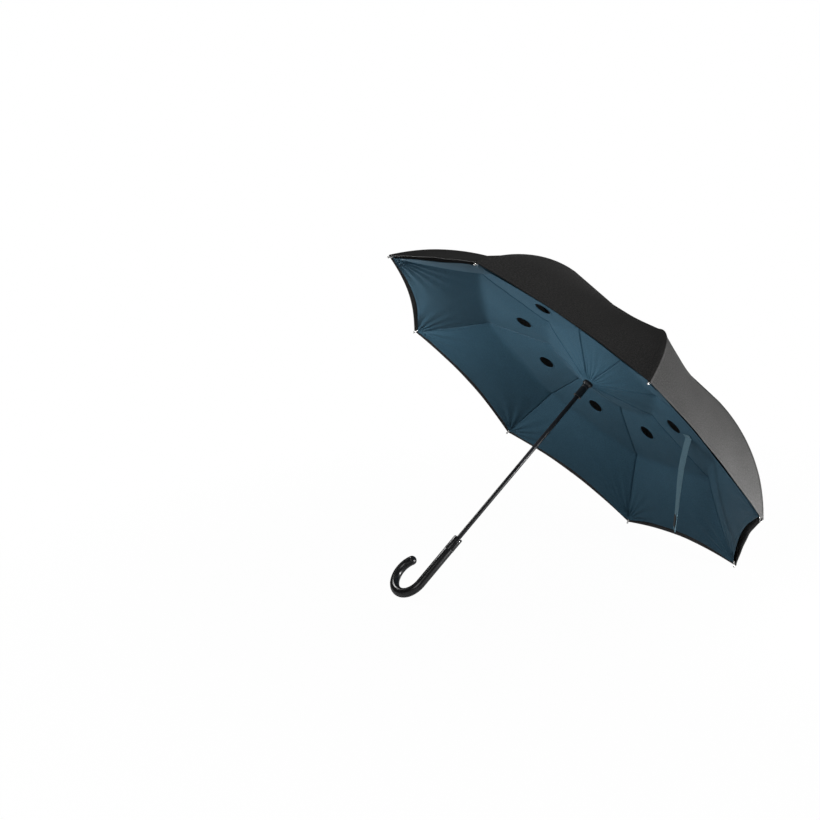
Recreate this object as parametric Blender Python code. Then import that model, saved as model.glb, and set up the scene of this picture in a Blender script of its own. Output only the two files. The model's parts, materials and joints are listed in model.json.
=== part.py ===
"""Inverted (reversible) umbrella, open, lying on two rib tips and its hook.

Everything is modelled upright in the umbrella's own frame, in metres: z runs
up the shaft from the plane of the rib tips to the crown, and rib k stands at
azimuth (k - 1/2) * 45 degrees.  One empty then lays the whole assembly down.
"""

import math

import bmesh
import bpy
import numpy as np
from mathutils import Matrix, Vector

# the umbrella as a whole (metres, degrees)
RIBS = 8
RIM_R = 0.530            # shaft axis to the end of a rib tip
RUNNER_Z = 0.106         # the runner's wire ring
ARM_L = 0.2906           # rib arm and stretcher, pivot to pivot
OPEN_DEG = 16.2          # the arm above, the stretcher below the horizontal
ROD_TURN_DEG = 37.2      # how far the outer rod curves from joint to tip
GAP = 0.0003             # clearance between neighbours
SLIDE_GAP = 0.0004       # clearance where one piece slides in another
CUT = 0.01               # how far a cutter runs past what it cuts
MERGE = 1e-6             # points closer than this are one

# links: flat eyes on wire rings, channels between them
PIVOT_R = 0.009          # radius of the wire rings
WIRE_R = 0.0006
WIRE_HOLE = 0.0010
EYE_R = 0.0026
EYE_T = 0.0009           # half its thickness
EYE_NECK = 0.0015        # half the height of the bar behind an eye
NECK_L = 0.012           # how far that bar reaches into its channel
LINK_H = 0.0018          # half the height of a channel
CHANNEL_AT = 0.010       # start of a channel, from its eye
TROUGH_AT = 0.0135       # start of its hollow
ARM_W = 0.0019           # half the width of an arm's channel
ARM_WALL = 0.0006
YOKE_IN = 0.00225        # inner and outer face of a stretcher's cheek
YOKE_OUT = 0.00305
YOKE_L = 0.050           # open both above and below along the joint
PIN_R = 0.0009
PIN_HOLE = 0.0013
RIVET_R = 0.0017
RIVET_T = 0.0005
RIVET_SEAT = 0.0002      # how deep a rivet's head sits in the cheek

# outer rods: a fork of nylon, a round rod and a metal tip
ROD_R = 0.0017
CHEEK_IN = 0.0012
FORK_W = 0.0019          # half the width of the fork's block
CHEEK_OUT = 0.0018
CHEEK_NECK = 0.0021
CHEEK_L = 0.0060
FORK_AT = 0.0045
FORK_END = 0.024
FORK_H = 0.0023
ROD_AT = 0.010
ROD_SHORT = 0.009        # the rod stops this far inside its tip
TIP_L = 0.017
TIP_BORE = ROD_R + SLIDE_GAP
TIP_R = 0.0025
TIP_SLEEVE_L = 0.0095
TIP_WALL = 0.0007        # closes the bore
TIP_TAPER = 0.0020
NECK_R = 0.0013
BALL_R = 0.0024
BALL_L = 0.0042
BALL_SHARES = ((0.24, 0.88), (0.57, 1.0), (0.86, 0.79))     # along it, of its radius

# outer canopy
CLOTH_T = 0.0005
CANOPY_LIFT = 0.0046     # underside of the cloth above the rib's centre line
CANOPY_SAG = 0.012       # how far a panel's middle hangs inside its ribs
FOLD_L = 0.03            # the cloth rounds the joint over this much, each way
TIP_DROP = 0.0012        # the cloth comes closer to the rod at its tip
DROP_FROM = 0.10         # before the rod's end
DROP_L = 0.09
SEAM_GAP = 0.0004        # between neighbouring sections
CROWN_CUT = 0.0052       # the cloth starts this far out from the wire ring
HEM_SHORT = 0.0055       # hem to the end of the rod, on a rib
HEM_SCALLOP = 0.0165     # how far the hem draws in between ribs

# lining
INNER_TIE_R = 0.161      # where the lining is tied under an arm
INNER_TIE_Z = 0.139
OUTER_TIE_R = 0.354      # and under a rod
OUTER_TIE_Z = 0.118
LINING_SEAT = 0.0005     # the lining above the runner's collar
LINING_HOLE_R = 0.0090
LINING_FOLD_R = 0.0122   # flat on the collar up to here
LINING_START_R = 0.0128
LINING_END = 0.0125      # hem to the end of the rod
LINING_DROP = 0.0036     # hem under the rod's centre line
LINING_SAG = 0.003
LINING_BELLY = 0.006     # more sag between the two ties
LINING_SCALLOP = 0.0175
VENT_R = 0.020
TIE_W = 0.004            # half the width of a tie
TIE_T = 0.0004
TIE_GAP = 0.0005         # tie to arm
ROD_TIE_GAP = 0.0014     # tie to rod, which curves away from it
ROW_SHARES = (0.0, 0.35, 1.0, 1.10, 1.2275, 1.355, 1.4825, 1.61, 1.8, 2.0, 2.33, 2.66, 3.0)
COLUMN_SHARES = (-1, -0.64, -0.34, -0.17, 0, 0.17, 0.34, 0.64)
VENT_ROWS = (3, 7)       # the vent replaces these rows and columns of a panel
VENT_COLUMNS = (2, 6)

# shaft and crown
SHAFT_R = 0.005
SHAFT_BORE = 0.0042
SHAFT_IN_GRIP = 0.070
SHAFT_OVER_RING = 0.0075
HUB_R = 0.012
HUB_BELOW = 0.0055       # from the wire ring to the hub's open end
HUB_ABOVE = 0.005
SLOT_W = 0.0015          # half the width of a slot for an eye
SLOT_R = 0.0060
SLOT_END = 0.0033        # the crown's slots end this far above its ring
CAP_R = 0.0195
CAP_H = 0.0060
CAP_BORE = HUB_R + SLIDE_GAP
CAP_OVER = 0.0005        # cap's rim above the cloth
CAP_SEAT = 0.0002        # and a little more, for the cloth's slope
CAP_LIP = 0.0006
CAP_STEP = 0.0004
CAP_SEAT_R = 0.0150
CAP_LIP_R = 0.0185
CAP_SOCKET = 0.0029
DOME_SHARES = ((0.975, 0.08), (0.82, 0.53), (0.51, 0.87))   # of its radius and height
STUD_ROOT_R = 0.0068
STUD_R = 0.0060
STUD_H = 0.0135
STUD_EDGE = 0.0010

# runner
COLLAR_BOTTOM = 0.054
COLLAR_TOP = 0.0962
RUNNER_TUBE_R = 0.0068
RUNNER_TUBE_IN = 0.0035  # the tube starts this far up the collar
RUNNER_SLOT = 0.0046     # slots start this far under the runner's ring
COLLAR_BORE = RUNNER_TUBE_R + GAP
COLLAR_R = 0.0085
FOOT_R = 0.0097
FOOT_H = 0.0030
FOOT_EDGE = 0.0004
FOOT_STEP = 0.0010
FOOT_NECK_R = 0.0088
FLANGE_R = 0.0121
FLARE_L = 0.0090
FLARE_SHARES = ((0.0, 0.0), (0.36, 0.22), (0.92, 0.39), (1.0, 0.47))    # out, up
STOP_R = 0.0078
STOP_H = 0.006
STOP_EDGE = 0.001

# handle
HANDLE_TOP = -0.368
SLEEVE_L = 0.0347
SLEEVE_R = 0.0107
SLEEVE_EDGE = 0.0012
SLEEVE_EDGE_SHARES = ((0.0, 1.0), (0.5, 0.25), (1.0, 0.0))  # in, down
SLEEVE_LIP = 0.0008
MOUTH_R = 0.0080
MOUTH_DEPTH = 0.005
STRAIGHT_L = 0.129       # handle top to the start of the hook's curve
HOOK_R = 0.044
HOOK_ARC_DEG = 223.0
HOOK_AZ_DEG = 97.0       # the way the hook curls
GRIP_R = 0.0105
GRIP_END_SHARE = 0.95    # length of the rounded end, of its radius
BORE_GAP = 0.0005        # under the shaft's end
BUTTON_L = 0.021
BUTTON_R = 0.0035
BUTTON_AT = 0.0095       # from the handle's top
BUTTON_IN = 0.0083       # its back, from the shaft's axis
BUTTON_EDGE = 0.0111
BUTTON_OUT = 0.01185
BUTTON_DOME_SHARES = ((0.0, 1.0, 1.0), (0.67, 0.90, 0.955), (1.0, 0.6, 0.82))    # out, width, length
POCKET_R = 0.0061

# strap
STRAP_AZ_DEG = -48.5
STRAP_ROW_SHARE = 1.53
PROBE_SHARE = 0.05       # how far away the lining is read for its slope
STRAP_HANG = 0.1817      # its free length
STRAP_END_X = -0.0300    # where its end hangs, from its root
STRAP_END_Y = 0.0200
STRAP_TURN_DEG = 16.26   # the way its width lies when it hangs
STRAP_BOW = 0.006
STRAP_PATCH = 0.012      # sewn down over this length
STRAP_LIFT = 0.0009
STRAP_W = 0.024
STRAP_T = 0.0008
TAB_W = 0.020
TAB_T = 0.0012
TAB_UP = 0.016           # along the strap
TAB_DOWN = 0.018         # beyond its end
TAB_FOLD = 0.004

# looks: colour, roughness, metallic
LOOKS = {
    "black_lacquer": ((0.012, 0.012, 0.013), 0.12, 0.0),
    "black_enamel": ((0.012, 0.012, 0.013), 0.20, 0.3),
    "black_nylon": ((0.015, 0.015, 0.016), 0.42, 0.0),
    "coated_steel": ((0.020, 0.020, 0.022), 0.35, 0.6),
    "black_fibreglass": ((0.016, 0.016, 0.017), 0.45, 0.0),
    "bright_nickel": ((0.80, 0.80, 0.81), 0.18, 1.0),
    "black_pongee": ((0.017, 0.017, 0.018), 0.85, 0.0),
    "petrol_polyester": ((0.050, 0.135, 0.200), 0.80, 0.0),
    "black_tape": ((0.014, 0.014, 0.015), 0.70, 0.0),
}
SHARP_DEG = 35.0         # edges bent more than this stay sharp

LINING_TIES = ((INNER_TIE_R, INNER_TIE_Z), (OUTER_TIE_R, OUTER_TIE_Z))
OPEN = math.radians(OPEN_DEG)
HALF = math.pi / RIBS
CROWN_Z = RUNNER_Z + 2 * ARM_L * math.sin(OPEN)
JOINT_R = PIVOT_R + ARM_L * math.cos(OPEN)
JOINT_Z = RUNNER_Z + ARM_L * math.sin(OPEN)
ROD_CHORD = math.hypot(RIM_R - JOINT_R, JOINT_Z)
ROD_ARC_R = ROD_CHORD / 2 / math.sin(math.radians(ROD_TURN_DEG) / 2)
ROD_LENGTH = ROD_ARC_R * math.radians(ROD_TURN_DEG)
ROD_START_SLOPE = math.atan2(-JOINT_Z, RIM_R - JOINT_R) + math.radians(ROD_TURN_DEG) / 2
BUTTON_MID = HANDLE_TOP - BUTTON_AT - BUTTON_L / 2
BUTTON_AZ = math.radians(HOOK_AZ_DEG - 180)


def rod_point(s, lift=0.0):
    """(r, z, slope) on the outer rod's arc, s metres out from the joint."""
    a = ROD_START_SLOPE - s / ROD_ARC_R
    r = JOINT_R + ROD_ARC_R * (math.sin(ROD_START_SLOPE) - math.sin(a)) - lift * math.sin(a)
    z = JOINT_Z + ROD_ARC_R * (math.cos(a) - math.cos(ROD_START_SLOPE)) + lift * math.cos(a)
    return r, z, a


# scene

def clear():
    for obj in list(bpy.data.objects):
        bpy.data.objects.remove(obj, do_unlink=True)
    for mesh in list(bpy.data.meshes):
        bpy.data.meshes.remove(mesh)


clear()
POSE = bpy.data.objects.new("lying_pose", None)
bpy.context.scene.collection.objects.link(POSE)
BUILT = []


def look(name):
    """The material of that name, made on first use."""
    made = bpy.data.materials.get(name)
    if made:
        return made
    colour, roughness, metallic = LOOKS[name]
    made = bpy.data.materials.new(name)
    made.use_nodes = True
    surface = made.node_tree.nodes["Principled BSDF"]
    surface.inputs["Base Color"].default_value = (*colour, 1.0)
    surface.inputs["Roughness"].default_value = roughness
    surface.inputs["Metallic"].default_value = metallic
    return made


def about(mesh, r, z):
    """Moves a mesh's origin to radius r at azimuth 0 and height z."""
    mesh.transform(Matrix.Translation((-r, 0, -z)))
    mesh["origin"] = (r, z)
    return mesh


def place(name, mesh, material, azimuth=0.0):
    """Puts a mesh in the scene as a node, turned to its azimuth."""
    if not mesh.materials:
        mesh.materials.append(look(material))
        mesh.shade_smooth()
        mesh.set_sharp_from_angle(angle=math.radians(SHARP_DEG))
    r, z = mesh.get("origin", (0.0, 0.0))
    obj = bpy.data.objects.new(name, mesh)
    bpy.context.scene.collection.objects.link(obj)
    obj.parent = POSE
    obj.location = (r * math.cos(azimuth), r * math.sin(azimuth), z)
    obj.rotation_euler = (0, 0, azimuth)
    BUILT.append(obj)
    return obj


# solids

def tidy(mesh):
    bm = bmesh.new()
    bm.from_mesh(mesh)
    bmesh.ops.remove_doubles(bm, verts=bm.verts, dist=MERGE)
    bmesh.ops.dissolve_degenerate(bm, edges=bm.edges, dist=MERGE)
    bmesh.ops.recalc_face_normals(bm, faces=bm.faces)
    bm.to_mesh(mesh)
    bm.free()
    return mesh


def solid(verts, faces):
    mesh = bpy.data.meshes.new("solid")
    mesh.from_pydata([tuple(v) for v in verts], [], faces)
    return tidy(mesh)


def combine(base, others, operation):
    """Boolean of a mesh with a list of meshes, one after the other."""
    for other in others:
        a = bpy.data.objects.new("a", base)
        b = bpy.data.objects.new("b", other)
        for obj in (a, b):
            bpy.context.scene.collection.objects.link(obj)
        cut = a.modifiers.new("cut", "BOOLEAN")
        cut.object = b
        cut.operation = operation
        cut.solver = "EXACT"
        bpy.context.view_layer.update()
        graph = bpy.context.evaluated_depsgraph_get()
        base = bpy.data.meshes.new_from_object(a.evaluated_get(graph))
        for obj in (a, b):
            bpy.data.objects.remove(obj, do_unlink=True)
    return tidy(base)


def ring(radius, z, n, turn=0.0):
    """n points round the shaft's axis."""
    angles = [2 * math.pi * (i + turn) / n for i in range(n)]
    return [(radius * math.cos(a), radius * math.sin(a), z) for a in angles]


def lathe(profile, n=24):
    """Revolves a closed (r, z) outline; points at r = 0 become poles."""
    verts = []
    rows = []
    for r, z in profile:
        start = len(verts)
        if r < MERGE:
            rows.append([start] * n)
            verts.append((0, 0, z))
        else:
            rows.append(list(range(start, start + n)))
            verts += ring(r, z, n)
    faces = []
    for a, b in zip(rows, rows[1:] + rows[:1]):
        for i in range(n):
            j = (i + 1) % n
            quad = [a[i], a[j], b[j], b[i]]
            quad = [v for k, v in enumerate(quad) if v != quad[k - 1]]
            if len(set(quad)) > 2:
                faces.append(quad)
    return solid(verts, faces)


def sweep(points, radii, n=12, closed=False):
    """A round bar through points; radii is one number or one for each point."""
    pts = [Vector(p) for p in points]
    count = len(pts)
    radii = [radii] * count if isinstance(radii, float) else radii
    verts = []
    side = None
    for i, p in enumerate(pts):
        before = pts[i - 1] if closed or i else pts[0]
        after = pts[(i + 1) % count] if closed or i < count - 1 else pts[-1]
        along = (after - before).normalized()
        side = side or along.orthogonal().normalized()
        side = (side - along * side.dot(along)).normalized()
        up = along.cross(side)
        for j in range(n):
            a = 2 * math.pi * j / n
            verts.append(p + (side * math.cos(a) + up * math.sin(a)) * radii[i])
    faces = []
    for i in range(count if closed else count - 1):
        k = (i + 1) % count
        for j in range(n):
            m = (j + 1) % n
            faces.append([i * n + j, i * n + m, k * n + m, k * n + j])
    if not closed:
        faces.append(list(range(n))[::-1])
        faces.append([(count - 1) * n + j for j in range(n)])
    return solid(verts, faces)


def upright(s, y, h):
    """The frame of a piece that stands in the plane of azimuth 0."""
    return s, y, h


def link_frame(r0, z0, angle):
    """A link's own frame: s along it, y across, h above."""
    c = math.cos(angle)
    d = math.sin(angle)
    return lambda s, y, h: (r0 + s * c - h * d, y, z0 + s * d + h * c)


def prism(outline, y0, y1, frame):
    """An (s, h) outline of a link, extruded across from y0 to y1."""
    n = len(outline)
    verts = [frame(s, y, h) for y in (y0, y1) for s, h in outline]
    faces = [list(range(n)), [n + i for i in range(n)][::-1]]
    faces += [[i, (i + 1) % n, n + (i + 1) % n, n + i] for i in range(n)]
    return solid(verts, faces)


def slab(frame, s0, s1, half, h0, h1):
    """A straight bar from s0 to s1, half wide on each side."""
    return prism([(s0, h0), (s1, h0), (s1, h1), (s0, h1)], -half, half, frame)


def pin(frame, s, radius, y0, y1, n=14):
    turn = 2 * math.pi / n
    outline = [(s + radius * math.cos(turn * i), radius * math.sin(turn * i)) for i in range(n)]
    return prism(outline, y0, y1, frame)


def eyed(s, half, to, n=12):
    """Outline of a bar of the given half height that ends in a round eye at s."""
    way = 1 if s > to else -1
    reach = math.pi - math.asin(half / EYE_R)
    arc = [-reach + 2 * reach * i / n for i in range(n + 1)]
    eye = [(s + way * EYE_R * math.cos(a), EYE_R * math.sin(a)) for a in arc]
    return [(to, -half)] + eye + [(to, half)]


def eye(frame, s, to, hole):
    """A flat eye at s with its hole, on a neck that reaches to `to`."""
    body = prism(eyed(s, EYE_NECK, to), -EYE_T, EYE_T, frame)
    return combine(body, [pin(frame, s, hole, -CUT, CUT)], "DIFFERENCE")


# ribs: each made once in the plane of azimuth 0

def stretcher():
    """Channel from the crown to the joint, with an eye, a yoke and its rivet."""
    frame = link_frame(PIVOT_R, CROWN_Z, -OPEN)
    body = prism(eyed(ARM_L, LINK_H, CHANNEL_AT), -YOKE_OUT, YOKE_OUT, frame)
    floor = -LINK_H + YOKE_OUT - YOKE_IN
    yoke = ARM_L - YOKE_L
    past = ARM_L + CUT
    hollow = [(TROUGH_AT, floor), (yoke, floor), (yoke, -CUT), (past, -CUT), (past, CUT), (TROUGH_AT, CUT)]
    body = combine(body, [prism(hollow, -YOKE_IN, YOKE_IN, frame)], "DIFFERENCE")
    end = YOKE_OUT + RIVET_T
    seat = YOKE_OUT - RIVET_SEAT
    rivet = [
        pin(frame, ARM_L, PIN_R, RIVET_SEAT - end, end - RIVET_SEAT),
        pin(frame, ARM_L, RIVET_R, -end, -seat),
        pin(frame, ARM_L, RIVET_R, seat, end),
    ]
    body = combine(body, [eye(frame, 0, NECK_L, WIRE_HOLE)] + rivet, "UNION")
    return about(body, PIVOT_R, CROWN_Z)


def rib_arm():
    """Channel from the runner to the joint, open below, with an eye at each end."""
    frame = link_frame(PIVOT_R, RUNNER_Z, OPEN)
    body = slab(frame, CHANNEL_AT, ARM_L - CHANNEL_AT, ARM_W, -LINK_H, LINK_H)
    hollow = slab(frame, TROUGH_AT, ARM_L - TROUGH_AT, ARM_W - ARM_WALL, -CUT, LINK_H - ARM_WALL)
    body = combine(body, [hollow], "DIFFERENCE")
    eyes = [eye(frame, 0, NECK_L, WIRE_HOLE), eye(frame, ARM_L, ARM_L - NECK_L, PIN_HOLE)]
    return about(combine(body, eyes, "UNION"), PIVOT_R, RUNNER_Z)


def rib_rod():
    """Fork on the joint's rivet, and the curved rod out of it."""
    frame = link_frame(JOINT_R, JOINT_Z, ROD_START_SLOPE)
    block = slab(frame, FORK_AT, FORK_END, FORK_W, -FORK_H, FORK_H)
    outline = eyed(0, CHEEK_NECK, CHEEK_L)
    cheeks = [prism(outline, side * CHEEK_IN, side * CHEEK_OUT, frame) for side in (1, -1)]
    steps = 13
    run = ROD_LENGTH - ROD_SHORT - ROD_AT
    places = [rod_point(ROD_AT + run * i / steps) for i in range(steps + 1)]
    rod = sweep([(r, 0, z) for r, z, _ in places], ROD_R, 10)
    body = combine(block, cheeks + [rod], "UNION")
    body = combine(body, [pin(frame, 0, PIN_HOLE, -CUT, CUT)], "DIFFERENCE")
    return about(body, JOINT_R, JOINT_Z)


def rib_tip():
    """Sleeve over the rod's end, its neck and a ball."""
    r0, z0, _ = rod_point(ROD_LENGTH - TIP_L)
    r1, z1, _ = rod_point(ROD_LENGTH)
    slope = math.atan2(z1 - z0, r1 - r0)
    length = math.hypot(z1 - z0, r1 - r0)
    ball = [(BALL_R * out, length - BALL_L * (1 - along)) for along, out in BALL_SHARES]
    outline = [(TIP_BORE, 0), (TIP_R, 0), (TIP_R, TIP_SLEEVE_L), (NECK_R, TIP_SLEEVE_L + TIP_TAPER)]
    outline += [(NECK_R, length - BALL_L)] + ball + [(0, length)]
    outline += [(0, TIP_SLEEVE_L - TIP_WALL), (TIP_BORE, TIP_SLEEVE_L - TIP_WALL)]
    mesh = lathe(outline, 12)
    turn = Matrix.Rotation(math.pi / 2 - slope, 4, "Y")
    mesh.transform(Matrix.Translation((r0, 0, z0)) @ turn)
    return mesh


# cloth

def canopy_line(t, lift):
    """(r, z, slope) of the outer cloth over a rib, t metres out along it from the joint."""
    r, z, slope = rod_point(t)
    if t <= 0:
        r, z, slope = JOINT_R + t * math.cos(OPEN), JOINT_Z - t * math.sin(OPEN), -OPEN
    if abs(t) < FOLD_L:
        f = (t + FOLD_L) / (2 * FOLD_L)
        slope = -OPEN + (rod_point(FOLD_L)[2] + OPEN) * f * f * (3 - 2 * f)
    return r - lift * math.sin(slope), z + lift * math.cos(slope), slope


def canopy_point(t, u, raise_by):
    """A point of the outer canopy: u = 0 on the rib, u = 1 or -1 on a panel's middle."""
    share = (t + ARM_L) / (ARM_L + ROD_LENGTH)
    across = 2 * abs(u) - u * u
    sag = CANOPY_SAG * math.sin(math.pi * min(max(share, 0), 1)) * across
    near_tip = min(max((t - ROD_LENGTH + DROP_FROM) / DROP_L, 0), 1)
    r, z, _ = canopy_line(t, CANOPY_LIFT - TIP_DROP * near_tip + raise_by - sag)
    psi = u * (HALF - SEAM_GAP / 2 / r)
    r *= math.cos(HALF) / math.cos(HALF - abs(psi))
    return r * math.cos(psi), r * math.sin(psi), z


def canopy_section(start, stop_at, rows, columns=6):
    """One section of the outer canopy over one rib. stop_at(u) is its outer edge.

    Both sides split their faces along the same diagonal, so the wall keeps
    its thickness where the cloth is twisted.
    """
    shares = [-1 + 2 * j / columns for j in range(columns + 1)]
    verts = []
    for side in (0.0, CLOTH_T):
        for i in range(rows + 1):
            verts += [canopy_point(start + (stop_at(u) - start) * i / rows, u, side) for u in shares]
    w = columns + 1
    top = (rows + 1) * w
    faces = []
    for i in range(rows):
        for j in range(columns):
            a = i * w + j
            for tri in ((a, a + 1, a + w + 1), (a, a + w + 1, a + w)):
                faces += [tri, [top + v for v in reversed(tri)]]
    rim = list(range(w)) + [i * w + w - 1 for i in range(1, rows + 1)]
    rim += [rows * w + j for j in range(w - 2, -1, -1)] + [i * w for i in range(rows - 1, 0, -1)]
    for a, b in zip(rim, rim[1:] + rim[:1]):
        faces.append([a, top + a, top + b, b])
    return solid(verts, faces)


def hem(u):
    """Scalloped edge of the outer canopy."""
    return ROD_LENGTH - HEM_SHORT - HEM_SCALLOP * (2 * abs(u) - u * u)


def lining_knots():
    """(r, z) of the lining under a rib: at the collar, at its two ties and at its hem."""
    r, z, _ = rod_point(ROD_LENGTH - LINING_END, -LINING_DROP)
    return [(LINING_START_R, COLLAR_TOP + LINING_SEAT), *LINING_TIES, (r, z)]


def lining_line(row):
    """(r, z, sag) of the lining at a row: 0 at the collar, 1 and 2 at its ties, 3 at the hem."""
    i = min(int(row), 2)
    f = row - i
    (r0, z0), (r1, z1) = lining_knots()[i:i + 2]
    belly = LINING_SAG + LINING_BELLY * math.sin(math.pi * f)
    sag = (LINING_SAG * f, belly, LINING_SAG * (1 - f))[i]
    return r0 + (r1 - r0) * f, z0 + (z1 - z0) * f, sag


def lining_point(row, v, panel, raise_by):
    """v runs from rib to rib, 0 on the panel's middle."""
    r, z, sag = lining_line(row)
    bow = 1 - v * v
    if row > 2:
        inward = LINING_SCALLOP * bow * (row - 2)
        tie_r, tie_z = LINING_TIES[1]
        slope = math.atan2(tie_z, tie_r - lining_knots()[3][0])
        r += inward * math.cos(slope)
        z += inward * math.sin(slope)
    a = (panel + v / 2) * 2 * HALF
    r *= math.cos(HALF) / math.cos(v * HALF)
    return r * math.cos(a), r * math.sin(a), z - sag * bow + raise_by


def flat_point(radius, v, panel, raise_by):
    """A point of the lining where it lies on the collar."""
    a = 2 * HALF * (panel + v / 2)
    return radius * math.cos(a), radius * math.sin(a), COLLAR_TOP + LINING_SEAT + raise_by


def vent_rim(panel):
    """For one panel: grid places round its vent, and the vent's own (row, v) nearest each."""
    (i0, i1), (j0, j1) = VENT_ROWS, VENT_COLUMNS
    edge = [(i0, j) for j in range(j0, j1)] + [(i, j1) for i in range(i0, i1)]
    edge += [(i1, j) for j in range(j1, j0, -1)] + [(i, j0) for i in range(i1, i0, -1)]
    mid = (ROW_SHARES[i0] + ROW_SHARES[i1]) / 2
    span = (LINING_TIES[1][0] - LINING_TIES[0][0]) * math.cos(HALF)
    rim = []
    for i, j in edge:
        x = COLUMN_SHARES[j] * lining_line(mid)[0] * math.sin(HALF)
        a = math.atan2((ROW_SHARES[i] - mid) * span, x)
        row = mid + VENT_R * math.sin(a) / span
        rim.append((row, VENT_R * math.cos(a) / (lining_line(row)[0] * math.sin(HALF))))
    return [(i, panel * len(COLUMN_SHARES) + j) for i, j in edge], rim


def lining_grid(side):
    """The points of one side: its rows, then the two flat rings on the collar."""
    panels = range(RIBS)
    verts = []
    for row in ROW_SHARES:
        verts += [lining_point(row, v, p, side) for p in panels for v in COLUMN_SHARES]
    for radius in (LINING_HOLE_R, LINING_FOLD_R):
        verts += [flat_point(radius, v, p, side) for p in panels for v in COLUMN_SHARES]
    return verts


def lining_shell():
    """Cloth of eight panels with a round vent in each, both sides split alike."""
    columns = len(COLUMN_SHARES)
    around = columns * RIBS
    rows = len(ROW_SHARES)
    verts = lining_grid(0.0) + lining_grid(CLOTH_T)
    level = len(verts) // 2

    def at(i, j):
        return i * around + j % around

    cut = range(*VENT_ROWS), range(*VENT_COLUMNS)
    order = [rows, rows + 1] + list(range(rows))
    faces = []
    for a, b in zip(order, order[1:]):
        for j in range(around):
            if a not in cut[0] or j % columns not in cut[1]:
                faces.append([at(a, j), at(a, j + 1), at(b, j + 1), at(b, j)])
    walls = [(at(i, j), at(i, j + 1)) for i in (rows, rows - 1) for j in range(around)]

    base = len(verts)
    sides = ([], [])
    for p in range(RIBS):
        edge, rim = vent_rim(p)
        for raised, points in zip((0.0, CLOTH_T), sides):
            points += [lining_point(row, v, p, raised) for row, v in rim]
        first = base + p * len(rim)
        for k, (a, b) in enumerate(zip(edge, edge[1:] + edge[:1])):
            c = first + (k + 1) % len(rim)
            d = first + k
            faces.append([at(*a), at(*b), c, d])
            walls.append((d, c))
    verts += sides[0] + sides[1]

    def upper(i):
        return i + len(sides[0]) if i >= base else i + level

    faces = [tri for a, b, c, d in faces for tri in ([a, b, c], [a, c, d])]
    faces += [[upper(i) for i in reversed(face)] for face in faces]
    faces += [[a, b, upper(b), upper(a)] for a, b in walls]
    return solid(verts, faces)


def under_rod(r):
    """Height of the outer rod's centre line at radius r."""
    low = 0.0
    high = ROD_LENGTH
    for _ in range(40):
        mid = (low + high) / 2
        if rod_point(mid)[0] < r:
            low = mid
        else:
            high = mid
    return rod_point(low)[1]


def tie(n):
    """A tape from the lining's middle thickness up to just under the arm or the rod."""
    r, z = LINING_TIES[n]
    (r_in, z_in), _, (r_out, z_out) = lining_knots()[n:n + 3]
    top = JOINT_Z - (JOINT_R - r) * math.tan(OPEN) - LINK_H / math.cos(OPEN) - TIE_GAP
    if r > JOINT_R:
        top = min(under_rod(r - TIE_W), under_rod(r + TIE_W)) - ROD_R - ROD_TIE_GAP
    root = z + CLOTH_T / 2
    inner = root + TIE_W * (z_in - z) / (r - r_in)
    outer = root + TIE_W * (z_out - z) / (r_out - r)
    outline = [(r - TIE_W, inner), (r, root), (r + TIE_W, outer), (r + TIE_W, top), (r - TIE_W, top)]
    return prism(outline, -TIE_T, TIE_T, upright)


def lining():
    ties = []
    for k in range(RIBS):
        for n in range(len(LINING_TIES)):
            made = tie(n)
            made.transform(Matrix.Rotation((2 * k + 1) * HALF, 4, "Z"))
            ties.append(made)
    return combine(lining_shell(), ties, "UNION")


# shaft and crown

def ring_hub(profile, slot_bottom, slot_top, wire_z):
    """A turned hub with a slot for each eye, and the wire ring that the eyes hang on."""
    slots = []
    for k in range(RIBS):
        slot = slab(upright, SLOT_R, HUB_R + CUT, SLOT_W, slot_bottom, slot_top)
        slot.transform(Matrix.Rotation((2 * k + 1) * HALF, 4, "Z"))
        slots.append(slot)
    body = combine(lathe(profile, 32), slots, "DIFFERENCE")
    wire = sweep(ring(PIVOT_R, wire_z, 32, 0.5), WIRE_R, 8, closed=True)
    return combine(body, [wire], "UNION")


def crown_hub():
    bore = SHAFT_R + GAP
    bottom = CROWN_Z - HUB_BELOW
    top = CROWN_Z + HUB_ABOVE
    profile = [(bore, bottom), (HUB_R, bottom), (HUB_R, top), (bore, top)]
    return ring_hub(profile, bottom - CUT, CROWN_Z + SLOT_END, CROWN_Z)


def crown_cap():
    """Clamps the cloth over the hub, and ends in a short stud."""
    z = CROWN_Z + HUB_ABOVE + GAP
    over = CANOPY_LIFT + CLOTH_T + CAP_OVER
    rim = canopy_line(CROWN_CUT - ARM_L, over)[1] + CAP_SEAT
    bore = SHAFT_R + GAP
    profile = [(CAP_BORE, z), (CAP_BORE, rim + CAP_STEP), (CAP_SEAT_R, rim), (CAP_LIP_R, rim - CAP_LIP)]
    profile += [(CAP_R, rim + CAP_STEP)] + [(CAP_R * out, z + CAP_H * up) for out, up in DOME_SHARES]
    profile += [(STUD_ROOT_R, z + CAP_H), (STUD_R, z + STUD_H - STUD_EDGE), (STUD_R - STUD_EDGE, z + STUD_H)]
    profile += [(0, z + STUD_H), (0, z + CAP_SOCKET), (bore, z + CAP_SOCKET), (bore, z)]
    return lathe(profile, 32)


def shaft_tube():
    low = HANDLE_TOP - SHAFT_IN_GRIP
    high = CROWN_Z + SHAFT_OVER_RING
    return lathe([(SHAFT_BORE, low), (SHAFT_R, low), (SHAFT_R, high), (SHAFT_BORE, high)], 24)


# runner

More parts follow.
